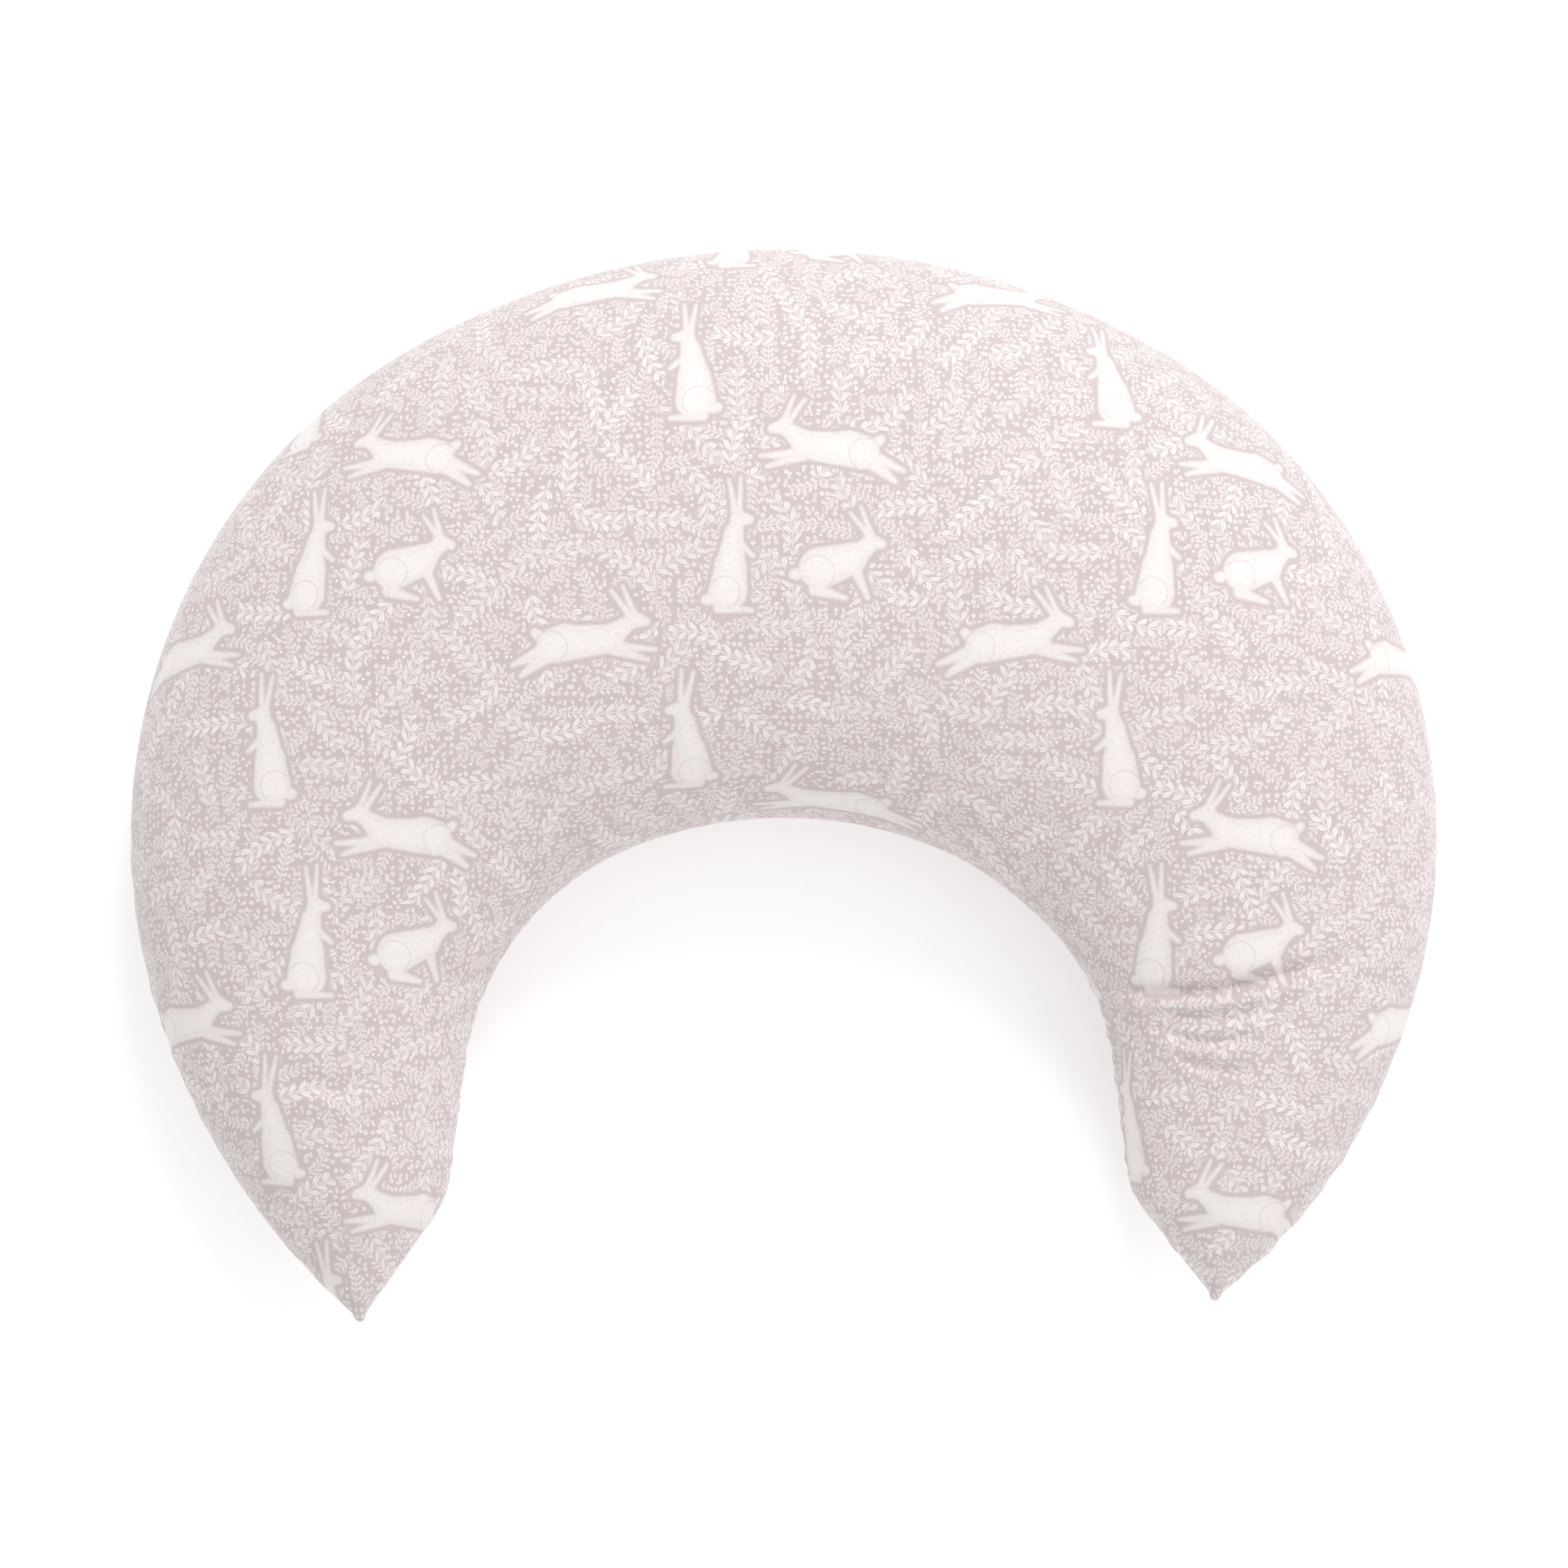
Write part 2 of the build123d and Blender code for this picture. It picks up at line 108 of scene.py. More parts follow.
class Stations:
    """Ellipses across the crescent at signed shares of the way to its tips: -1 left, +1 right."""

    def __init__(self, signed, plan_inset=0.0, height_inset=0.0, caps=5):
        share = np.abs(signed)
        lag = share * (1 - share) * (INNER_LAG + INNER_LAG_GROWTH * share)
        outer, inner = outline(CROWN_Y, OUTER, share), outline(MOUTH_Y, INNER, share - lag)
        side = np.where(signed < 0, -1.0, 1.0)
        outer[:, 0] *= side
        inner[:, 0] *= side
        tip_part = np.clip((signed - RIGHT_TIP_FROM) / (1 - RIGHT_TIP_FROM), 0, 1) ** RIGHT_TIP_POWER
        horn_part = smooth((signed - RIGHT_INNER_FROM) / RIGHT_INNER_RUN) * (1 - tip_part)
        outer += tip_part[:, None] * RIGHT_TIP_SHIFT
        inner += tip_part[:, None] * RIGHT_TIP_SHIFT + horn_part[:, None] * RIGHT_INNER_SHIFT
        self.centre = (outer + inner) / 2
        gap = outer - inner
        half = np.linalg.norm(gap, axis=1) / 2
        self.rung = gap / (2 * half[:, None])
        self.height = HALF_HEIGHT * (half / HALF_WIDTH) ** FULLNESS - height_inset
        self.belly = SEAM_Z + (BELLY_Z - SEAM_Z) * (half / HALF_WIDTH) ** BELLY_POWER
        self.half = half - plan_inset
        self.signed = signed
        self.cap(caps)

    def cap(self, count):
        """Rounds both ends off with a few shrinking stations."""
        turns = np.linspace(0, math.pi / 2, count + 1)[1:]
        rows = {key: getattr(self, key) for key in ("centre", "rung", "height", "belly", "half", "signed")}
        for end, near in ((0, 1), (-1, -2)):
            out = rows["centre"][end] - rows["centre"][near]
            out /= np.linalg.norm(out)
            extra = {
                "centre": rows["centre"][end] + TIP_ROUNDING * np.sin(turns)[:, None] * out,
                "rung": np.repeat(rows["rung"][end][None], count, 0),
                "height": rows["height"][end] * np.cos(turns),
                "belly": np.full(count, rows["belly"][end]),
                "half": rows["half"][end] * np.cos(turns),
                "signed": np.full(count, rows["signed"][end]),
            }
            for key, more in extra.items():
                pair = (more[::-1], rows[key]) if end == 0 else (rows[key], more)
                rows[key] = np.concatenate(pair)
        for key, value in rows.items():
            setattr(self, key, value)

    def angle_at(self, z):
        """The ellipse's angle at a height, on the outer side."""
        return np.arcsin(np.clip((z - self.belly) / np.maximum(self.height, 1e-3), -STEEPEST, STEEPEST))

    def points(self, angle, floor=0.0):
        """Points at angles (stations x across), flattened where they would pass the floor."""
        along = self.half[:, None] * np.cos(angle)
        z = self.belly[:, None] + self.height[:, None] * np.sin(angle)
        z = floor + soft_floor(z - floor)
        plan = self.centre[:, None, :] + along[..., None] * self.rung[:, None, :]
        return np.concatenate([plan, z[..., None]], -1)

    def print_place(self, angle, upper):
        """Where each point lies in the flat cloth: along the rung, by its arc length from the middle."""
        turn = np.linspace(-ARC_REACH, ARC_REACH, ARC_POINTS)
        a, b = self.half[:, None], self.height[:, None]
        slope = np.sqrt((a * np.cos(turn)) ** 2 + (b * np.sin(turn)) ** 2)
        step = (slope[:, 1:] + slope[:, :-1]) / 2 * (turn[1] - turn[0])
        length = np.concatenate([np.zeros((len(step), 1)), np.cumsum(step, 1)], 1)
        length -= length[:, [ARC_POINTS // 2]]
        off_middle = math.pi / 2 - angle if upper else angle - 1.5 * math.pi
        out = np.stack([np.interp(row, turn, run) for row, run in zip(off_middle, length)])
        return self.centre[:, None, :] + out[..., None] * self.rung[:, None, :]


def soft_floor(z):
    """z where it is well above 0, and nearly 0 below, with a rounded turn between."""
    return (z + np.sqrt(z * z + FLOOR_SOFTNESS * FLOOR_SOFTNESS)) / 2 - FLOOR_SINK


def smooth(x):
    """0 up to x = 0 and 1 from x = 1, with a rounded step between."""
    x = np.clip(x, 0, 1)
    return x * x * (3 - 2 * x)


def fan(first, last, shares):
    """Angles across each station at shares of the way from its first angle to its last."""
    return first[:, None] + (last - first)[:, None] * shares


def normals(points):
    """Unit normals of a grid of points, by its own slopes."""
    along, across = np.gradient(points, axis=0), np.gradient(points, axis=1)
    normal = np.cross(across, along)
    return normal / np.maximum(np.linalg.norm(normal, axis=-1, keepdims=True), 1e-9)


# ---- Meshes ------------------------------------------------------
WELD_GAP = 0.02


def new_object(name, vertices, faces, material, smooth_shade=True):
    mesh = bpy.data.meshes.new(name)
    mesh.from_pydata(np.asarray(vertices).tolist(), [], faces)
    mesh.update()
    if smooth_shade:
        mesh.polygons.foreach_set("use_smooth", [True] * len(mesh.polygons))
    obj = bpy.data.objects.new(name, mesh)
    bpy.context.scene.collection.objects.link(obj)
    if material:
        mesh.materials.append(material)
    return obj


def grid_faces(rows, columns, closed=False):
    """Quads over a grid; closed joins the last column to the first."""
    index = np.arange(rows * columns).reshape(rows, columns)
    after = np.roll(index, -1, 1) if closed else index[:, 1:]
    here = index if closed else index[:, :-1]
    quads = np.stack([here[:-1], here[1:], after[1:], after[:-1]], -1)
    return quads.reshape(-1, 4).tolist()


def grid_object(name, points, material, prints=None, closed=False):
    """A sheet from a grid of points in millimetres of the part, with its flat-cloth places as a UV map."""
    rows, columns = points.shape[:2]
    obj = new_object(name, points.reshape(-1, 3) * MM, grid_faces(rows, columns, closed), material)
    if prints is not None:
        layer = obj.data.uv_layers.new(name="cloth")
        corner = np.zeros(len(obj.data.loops), np.int32)
        obj.data.loops.foreach_get("vertex_index", corner)
        layer.data.foreach_set("uv", (prints.reshape(-1, 2)[corner] / 1000).ravel())
    return obj


def apply_modifier(obj, kind, **settings):
    modifier = obj.modifiers.new(kind.lower(), kind)
    for key, value in settings.items():
        setattr(modifier, key, value)
    bpy.context.view_layer.objects.active = obj
    bpy.ops.object.modifier_apply(modifier=modifier.name)


def thicken(obj, thickness, offset=-1):
    """Gives a sheet the cloth's thickness, on the side its faces look to (offset 1) or behind them (-1)."""
    apply_modifier(obj, "WELD", merge_threshold=WELD_GAP * MM)
    apply_modifier(obj, "SOLIDIFY", thickness=thickness * MM, offset=offset)


def stand_for(obj, body, slot, *nodes):
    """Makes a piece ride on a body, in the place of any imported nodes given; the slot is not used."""
    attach(obj, body)
    if nodes:
        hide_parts(*nodes)


# ---- Cover -------------------------------------------------------
ALONG = 600
TOP_ACROSS, BOTTOM_ACROSS = 150, 90
EDGE_BIAS = 0.06
COVER_THICK = 0.7
BOTTOM_PRINT_SHIFT = [310, 60]
ZIP_END_RUN = 0.8  # degrees over which the cover's edges part at each end of the zip
ZIP_EDGE = 0.92 * SLOT_HALF
ZIP_TURN_IN, TURN_IN, TURN_IN_STEPS = 1.5, 6.0, (0.35, 1.0)
TIP_TURN_IN = 0.6  # share of a narrow station's half width that its seam allowance may take
SEAM_DIP, SEAM_DIP_WIDTH, DIP_FULL_FROM = 1.6, 2.6, 14
PUCKER, PUCKER_REACH, PUCKER_START = 0.34, 11, 1.5
SEAM_RUN = 721  # length of the outer seam from the crown to a tip
LIP, LIP_AT = 0.5, 1.6
UNDER_SPREAD = 2.2
# Folds in the cloth: start, bend and end in plan, depth and width.
CREASES = [
    ((158, -97), (200, -103), (258, -82), 7.0, 3.4),
    ((176, -115), (196, -126), (218, -117), 4.8, 3.0),
    ((186, -128), (200, -139), (220, -134), 3.2, 2.8),
    ((172, -106), (198, -114), (230, -106), 2.4, 3.6),
    ((-230, -138), (-207, -148), (-184, -137), 2.4, 5.0),
    ((-10, 6), (-12, 22), (-4, 40), 1.5, 7.0),
    ((72, -6), (78, 6), (82, 24), 1.5, 6.0),
    ((-102, -28), (-106, -12), (-104, 8), 1.3, 7.0),
    ((-54, -6), (-56, 8), (-50, 26), 1.2, 6.0),
    ((40, 2), (42, 14), (38, 30), 1.0, 6.0),
    ((118, -60), (130, -54), (146, -46), 1.2, 6.0),
    ((-140, -96), (-154, -92), (-170, -84), 1.2, 6.0),
]


def zip_share(signed):
    """1 where the cover is open for the zip, 0 away from it, with a short run between."""
    degrees = np.degrees(np.abs(signed) * OUTER_LENGTH / CROWN_R)
    return 1 - smooth((degrees - ZIP_HALF_ANGLE) / ZIP_END_RUN + 0.5)


def spread(count):
    """Shares of the way across a panel, closer together at its edges."""
    t = np.linspace(0, 1, count)
    return t - EDGE_BIAS * np.sin(2 * math.pi * t)


def cover_angles(stations, count, upper):
    """Angles across a panel, from one seam edge to the other; the outer edge stands back from the zip."""
    stand_back = ZIP_EDGE * zip_share(stations.signed)
    inner = math.pi - stations.angle_at(SEAM_Z)
    if upper:
        return fan(stations.angle_at(SEAM_Z + stand_back), inner, spread(count))
    return fan(inner, 2 * math.pi + stations.angle_at(SEAM_Z - stand_back), spread(count))


def with_turned_in_edges(points, stations, upper):
    """Adds the seam allowance to both edges of a panel: two columns that run in along the seam plane."""
    opened = zip_share(stations.signed)[:, None]
    inward = np.concatenate([stations.rung, np.zeros((len(stations.rung), 1))], 1)
    room = np.clip(stations.half[:, None] * TIP_TURN_IN, 0, TURN_IN)
    outer_depth = room * (1 - opened) + ZIP_TURN_IN * opened
    outer_edge, inner_edge = (points[:, 0], points[:, -1]) if upper else (points[:, -1], points[:, 0])
    outer_more = [(outer_edge - inward * outer_depth * k)[:, None] for k in TURN_IN_STEPS]
    inner_more = [(inner_edge + inward * room * k)[:, None] for k in TURN_IN_STEPS]
    first, last = (outer_more, inner_more) if upper else (inner_more, outer_more)
    return np.concatenate([*first[::-1], points, *last], 1)


def seam_dip(points, stations, upper):
    """Draws the cloth in along both seams, and gathers it in small puckers, except at the zip."""
    spacing = np.linalg.norm(np.diff(points, axis=1), axis=-1)
    from_first = np.concatenate([np.zeros((len(points), 1)), np.cumsum(spacing, 1)], 1)
    from_last = from_first[:, -1:] - from_first
    opened = zip_share(stations.signed)[:, None]
    run = stations.signed[:, None] * SEAM_RUN
    depth = 0
    for distance, phase, at_zip in ((from_first, 0.0, upper), (from_last, 2.1, not upper)):
        pucker = np.sin(run / 2.9 + phase + 1.7 * np.sin(run / 31)) + 0.7 * np.sin(run / 5.3 + 2 * phase)
        pucker = pucker * PUCKER * (1 + 0.6 * np.sin(run / 47 + phase))
        pucker = pucker * np.exp(-((distance / PUCKER_REACH) ** 2))
        pucker = pucker * (1 - np.exp(-((distance / PUCKER_START) ** 2)))
        dip = SEAM_DIP * np.exp(-((distance / SEAM_DIP_WIDTH) ** 2))
        depth = depth + (1 - opened * at_zip) * (dip + pucker)
    depth = depth * np.clip(stations.half[:, None] / DIP_FULL_FROM, 0, 1)
    return points - normals(points) * depth[..., None]


def fold_drop(plan, fold, under):
    """How far the cloth drops at points in plan: a valley along a bent line, with a raised lip below it.

    What lies under the cover drops more widely, with no lip.
    """
    a, b, c = (np.array(p, float) for p in fold[:3])
    depth, width = fold[3:]
    width, lip = (UNDER_SPREAD * width, 0.0) if under else (width, LIP)
    s = np.linspace(0, 1, 41)[:, None]
    curve = (1 - s) ** 2 * a + 2 * s * (1 - s) * b + s * s * c
    gap = plan[..., None, :] - curve
    far = np.linalg.norm(gap, axis=-1)
    near = far.argmin(-1)
    distance = np.take_along_axis(far, near[..., None], -1)[..., 0]
    tangent = np.gradient(curve, axis=0)
    tangent /= np.linalg.norm(tangent, axis=1, keepdims=True)
    offset = np.take_along_axis(gap, near[..., None, None], -2)[..., 0, :]
    side = offset[..., 0] * tangent[near][..., 1] - offset[..., 1] * tangent[near][..., 0]
    fade = np.sin(math.pi * np.clip(near / (len(s) - 1), 0.04, 0.96)) ** 0.5
    x = np.sign(side) * distance / width
    valley = 0.75 * np.exp(-x * x) + 0.25 * np.exp(-((x / 3) ** 2))
    return depth * fade * (valley - lip * np.exp(-((x - LIP_AT) ** 2)))


def crease(points, under=False):
    """Folds the parts of a sheet that face up."""
    normal = normals(points)
    facing_up = np.clip(normal[..., 2], 0, 1) ** 0.5
    drop = sum(fold_drop(points[..., :2], fold, under) for fold in CREASES)
    return points - normal * (drop * facing_up)[..., None]


def make_cover(material, sag):
    """The two printed panels. sag moves the smooth shape by the simulated cloth's displacement."""
    stations = Stations(np.linspace(-1, 1, ALONG + 1))
    for name, upper, count in (("cover_top", True, TOP_ACROSS), ("cover_bottom", False, BOTTOM_ACROSS)):
        angle = cover_angles(stations, count, upper)
        points = stations.points(angle)
        prints = stations.print_place(angle, upper)
        points = points + sag(stations, upper, count, points)
        if upper:
            points = crease(points)
        else:
            prints = prints * [-1, 1] + BOTTOM_PRINT_SHIFT
        points = with_turned_in_edges(seam_dip(points, stations, upper), stations, upper)
        prints = np.concatenate([prints[:, :1]] * 2 + [prints] + [prints[:, -1:]] * 2, 1)
        panel = grid_object(name, points, material, prints)
        thicken(panel, COVER_THICK, 1)
        stand_for(panel, "pillow", "cover_cotton", f"{name}_panel")


# ---- Shader arithmetic -------------------------------------------
class Value:
    """A number in a material's node tree. Arithmetic on it adds Math nodes."""

    def __init__(self, tree, socket):
        self.tree, self.socket = tree, socket

    def op(self, operation, *others, clamp=False):
        node = self.tree.nodes.new("ShaderNodeMath")
        node.operation, node.use_clamp = operation, clamp
        for slot, item in zip(node.inputs, (self, *others)):
            if isinstance(item, Value):
                self.tree.links.new(item.socket, slot)
            else:
                slot.default_value = item
        return Value(self.tree, node.outputs[0])

    def __rsub__(self, other):
        return self.op("MULTIPLY_ADD", -1.0, other)

    def clamped(self):
        return self.op("ADD", 0.0, clamp=True)


MATH_NODES = {
    "__add__": "ADD", "__sub__": "SUBTRACT", "__mul__": "MULTIPLY", "__truediv__": "DIVIDE",
    "min": "MINIMUM", "max": "MAXIMUM", "mod": "FLOORED_MODULO", "floor": "FLOOR",
    "abs": "ABSOLUTE", "sin": "SINE", "cos": "COSINE",
}
for method, operation in MATH_NODES.items():
    setattr(Value, method, lambda value, *others, operation=operation: value.op(operation, *others))


def hypot(x, y):
    return (x * x + y * y).op("SQRT")


def turned(x, y, angle):
    """x and y after a turn by minus the angle, a Value or a number."""
    if isinstance(angle, Value):
        c, s = angle.cos(), angle.sin()
    else:
        c, s = math.cos(angle), math.sin(angle)
    return x * c + y * s, y * c - x * s


def inside(distance, soft):
    """1 inside a shape and 0 outside, with a soft edge."""
    return (0.5 - distance / soft).clamped()


SEED_SKEW = 1.7


class Tree:
    """A material's node tree with its Principled shader."""

    def __init__(self, name):
        self.material = bpy.data.materials.new(name)
        self.material.use_nodes = True
        self.tree = self.material.node_tree
        self.shader = self.tree.nodes["Principled BSDF"]

    def put(self, node, inputs):
        """Links or sets a node's inputs, by name or number."""
        for key, value in inputs.items():
            value = value.socket if isinstance(value, Value) else value
            if isinstance(value, bpy.types.NodeSocket):
                self.tree.links.new(value, node.inputs[key])
            else:
                node.inputs[key].default_value = value

    def node(self, kind, inputs=None, **settings):
        node = self.tree.nodes.new(kind)
        for key, value in settings.items():
            setattr(node, key, value)
        self.put(node, inputs or {})
        return node

    def value(self, socket):
        return Value(self.tree, socket)

    def uv(self):
        """Places in the flat cloth, in millimetres."""
        uv = self.node("ShaderNodeUVMap", uv_map="cloth")
        parts = self.node("ShaderNodeSeparateXYZ", {0: uv.outputs[0]})
        return self.value(parts.outputs[0]) * 1000.0, self.value(parts.outputs[1]) * 1000.0

    def place(self):
        """Places in the object, in metres."""
        return self.node("ShaderNodeTexCoord").outputs["Object"]

    def vector(self, x, y, z=0.0):
        return self.node("ShaderNodeCombineXYZ", {0: x, 1: y, 2: z}).outputs[0]

    def noise(self, vector, scale, detail=2.0, rough=0.5):
        inputs = {"Vector": vector, "Scale": scale, "Detail": detail, "Roughness": rough}
        return self.value(self.node("ShaderNodeTexNoise", inputs).outputs["Fac"])

    def voronoi(self, x, y, size, randomness, seed, feature):
        place = self.vector(x / size + seed, y / size + seed * SEED_SKEW)
        inputs = {"Vector": place, "Scale": 1.0, "Randomness": randomness}
        return self.node("ShaderNodeTexVoronoi", inputs, voronoi_dimensions="2D", feature=feature)

    def cells(self, x, y, size, randomness, seed):
        """Scattered cells: local x and y from each cell's point, and three random numbers."""
        node = self.voronoi(x, y, size, randomness, seed, "F1")
        at = self.node("ShaderNodeSeparateXYZ", {0: node.outputs["Position"]})
        local_x = x - (self.value(at.outputs[0]) - seed) * size
        local_y = y - (self.value(at.outputs[1]) - seed * SEED_SKEW) * size
        colour = self.node("ShaderNodeSeparateColor", {0: node.outputs["Color"]})
        return local_x, local_y, [self.value(o) for o in colour.outputs]

    def border(self, x, y, size, randomness, seed):
        """How near the border of its scattered cell a point is."""
        node = self.voronoi(x, y, size, randomness, seed, "DISTANCE_TO_EDGE")
        return self.value(node.outputs["Distance"]) * size

    def mix(self, share, first, second):
        ends = [c if isinstance(c, bpy.types.NodeSocket) else (*c, 1.0) for c in (first, second)]
        node = self.node("ShaderNodeMix", data_type="RGBA")
        self.put(node, {0: share, 6: ends[0], 7: ends[1]})
        return node.outputs[2]

    def shade(self, name, value):
        self.put(self.shader, {name: value})

    def bump(self, height, distance, strength):
        node = self.node("ShaderNodeBump", {"Height": height, "Distance": distance, "Strength": strength})
        self.shade("Normal", node.outputs[0])


def linear(r, g, b):
    """A colour from its 0-255 screen values."""
    screen = (r / 255, g / 255, b / 255)
    return tuple(c / 12.92 if c <= 0.04045 else ((c + 0.055) / 1.055) ** 2.4 for c in screen)


def dimmed(colour, share):
    return tuple(c * share for c in colour)


# ---- The print ---------------------------------------------------
GROUND = linear(199, 186, 187)
LEAF = linear(239, 233, 231)
RABBIT = linear(236, 231, 229)
RABBIT_SHADE = linear(214, 204, 204)
TILE_X, TILE_Y = 196.0, 178.0
WEAVE_PITCH = 0.46
# Where each animal's repeat starts in the tile, and how far its mirrored rows are shifted.
LEAPING_AT, LEAPING_SHIFT = (10.0, 20.0), 106.0
UPRIGHT_AT, UPRIGHT_SHIFT = (72.0, 62.0), -15.0
CROUCHED_AT = (-73.0, 11.0)
# Cell size and seed of the small plants, with the lean of a sprig's leaves in degrees.
LARGE_SPRIG, MIDDLE_SPRIG, DITSY = (25.0, 3.1, 36), (14.0, 11.7, 48), (3.3, 5.3)
MIDRIB, SPRIG_SCATTER, DITSY_SCATTER, STEM = 0.1, 0.75, 0.7, 0.2
LIMB_BLEND = 1.6

# Haunches: circles (x, y, radius) in the animals' places, of which the upper front half is drawn as a line.
LEAPING_HAUNCH, UPRIGHT_HAUNCH, CROUCHED_HAUNCH = (-19, -2, 7.4), (-1.5, -18.5, 7.2), (-9.5, -3, 7.6)
# Each animal is a union of tapered limbs: (x, y, radius) to (x, y, radius), in millimetres, facing +X.
LEAPING = [
    ((-12, 0, 8.2), (8, 2, 6.6)),
    ((-17, -1, 8.2), (-12, 1, 8.0)),
    ((8, 3, 6.0), (16, 9, 3.6)),
    ((18, 11, 4.0), (23.5, 9.8, 2.3)),
    ((16, 13, 1.5), (8, 24, 0.9)),
    ((18, 14, 1.5), (13, 26, 0.8)),
    ((12, -2, 2.6), (29, -3, 1.0)),
    ((10, -3, 2.6), (26, -8, 1.0)),
    ((-19, -4, 4.2), (-33, -15, 1.2)),
    ((-21, -3, 3.6), (-37, -10, 1.1)),
    ((-25, 4, 2.4), (-26, 5, 2.0)),
]
UPRIGHT = [
    ((0, -18, 9.2), (1, -7, 7.6)),
    ((1, -7, 7.0), (3, 8, 4.6)),
    ((3, 9, 4.0), (5, 14, 3.4)),
    ((5, 15, 3.9), (10, 14.5, 2.2)),
    ((3, 18, 1.6), (0, 33, 0.8)),
    ((5, 18, 1.5), (5.5, 34, 0.8)),
    ((5, 4, 2.0), (12, -2, 1.1)),
    ((-4, -26, 2.4), (11, -27, 1.2)),
    ((-9, -22, 2.8), (-10, -22, 2.4)),
]
CROUCHED = [
    ((-8, -1, 9.6), (5, 3, 7.4)),
    ((5, 3, 6.4), (13, 9, 3.8)),
    ((14, 11, 3.9), (19, 10, 2.3)),
    ((13, 14, 1.5), (5, 24, 0.8)),
    ((14, 15, 1.5), (10, 27, 0.8)),
    ((8, -3, 2.4), (13, -15, 1.1)),
    ((-10, -11, 3.0), (3, -15, 1.2)),
    ((-19, -4, 2.8), (-20, -4, 2.4)),
]


def limb(x, y, start, end):
    """Signed distance to a tapered limb."""
    (ax, ay, ar), (bx, by, br) = start, end
    dx, dy = bx - ax, by - ay
    px, py = x - ax, y - ay
    along = (px * (dx / (dx * dx + dy * dy)) + py * (dy / (dx * dx + dy * dy))).clamped()
    gap = hypot(px - along * dx, py - along * dy)
    return gap - (along * (br - ar) + ar)


def animal(x, y, limbs):
    whole = None
    for start, end in limbs:
        part = limb(x, y, start, end)
        whole = part if whole is None else whole.op("SMOOTH_MIN", part, LIMB_BLEND)
    return whole


def haunch(x, y, circle):
    """Distance to the drawn line of a haunch: the upper front half of a circle."""
    centre_x, centre_y, radius = circle
    x, y = x - centre_x, y - centre_y
    line = (hypot(x, y) - radius).abs()
    return line.max((x + y) * -0.7 - 1.0)


def repeat(x, y, at):
    """Local places in a plain repeat of the tile."""
    return (x - at[0]).mod(TILE_X) - TILE_X / 2, (y - at[1]).mod(TILE_Y) - TILE_Y / 2


def mirrored_rows(x, y, at, shift):
    """Local places in a repeat with two rows to the tile, every other one shifted and mirrored."""
    row_height = TILE_Y / 2
    row = ((y - at[1]) / row_height).floor()
    flip = row.mod(2.0)
    local_y = (y - at[1]) - row * row_height - row_height / 2
    local_x = (x - at[0] - flip * shift).mod(TILE_X) - TILE_X / 2
    return local_x * (1.0 - flip * 2.0), local_y


def leaf_shape(along, across, centre, half_length, half_width):
    """Signed distance to a pointed leaf with a bare midrib."""
    t = (along - centre) / half_length
    side = across.abs()
    return (side - (1.0 - t * t) * half_width).max(MIDRIB - side)


def sprig(tree, x, y, size, seed, lean):
    """A bent stem with pairs of leaves in each cell: its cover of a point, and its signed distance."""
    lx, ly, randoms = tree.cells(x, y, size, SPRIG_SCATTER, seed)
    border = tree.border(x, y, size, SPRIG_SCATTER, seed)
    lx, ly = turned(lx, ly, randoms[0] * (2 * math.pi))
    ly = ly + lx * lx * (randoms[1] - 0.5) * (1.3 / size)
    reach, pair = 0.6 * size, 0.2 * size
    stem = (ly.abs() - STEM).max(lx.abs() - reach)
    along, across = turned((lx + reach).mod(pair) - 0.08 * pair, ly.abs(), math.radians(lean))
    blade = leaf_shape(along, across, 0.16 * size, 0.14 * size, 0.043 * size)
    shape = stem.min(blade.max(lx.abs() - reach * 1.08))
    cover = inside(shape, 0.3) * inside(0.3 - border, 0.4)
    return cover * (randoms[2] * 0.25 + 0.75), shape


def ditsy(tree, x, y, size, seed):
    """Small leaves, five-petalled florets and berries, one to a cell."""
    lx, ly, randoms = tree.cells(x, y, size, DITSY_SCATTER, seed)
    tx, ty = turned(lx, ly, randoms[0] * (2 * math.pi))
    blade = leaf_shape(tx, ty, 0.0, 0.5 * size, 0.2 * size)
    radius = hypot(lx, ly)
    around = ly.op("ARCTAN2", lx)
    petal = radius - ((around * 5.0 + randoms[0] * 6.0).cos() * 0.26 + 0.9) * (0.33 * size)
    petal = petal.max(0.1 * size - radius)
    berry = radius - 0.2 * size
    pick = randoms[1]
    as_leaf, as_berry = pick.op("LESS_THAN", 0.4), pick.op("GREATER_THAN", 0.8)
    shape = blade * as_leaf + petal * (1.0 - as_leaf)
    shape = shape * (1.0 - as_berry) + berry * as_berry
    return inside(shape, 0.3) * (randoms[2] * 0.3 + 0.7)


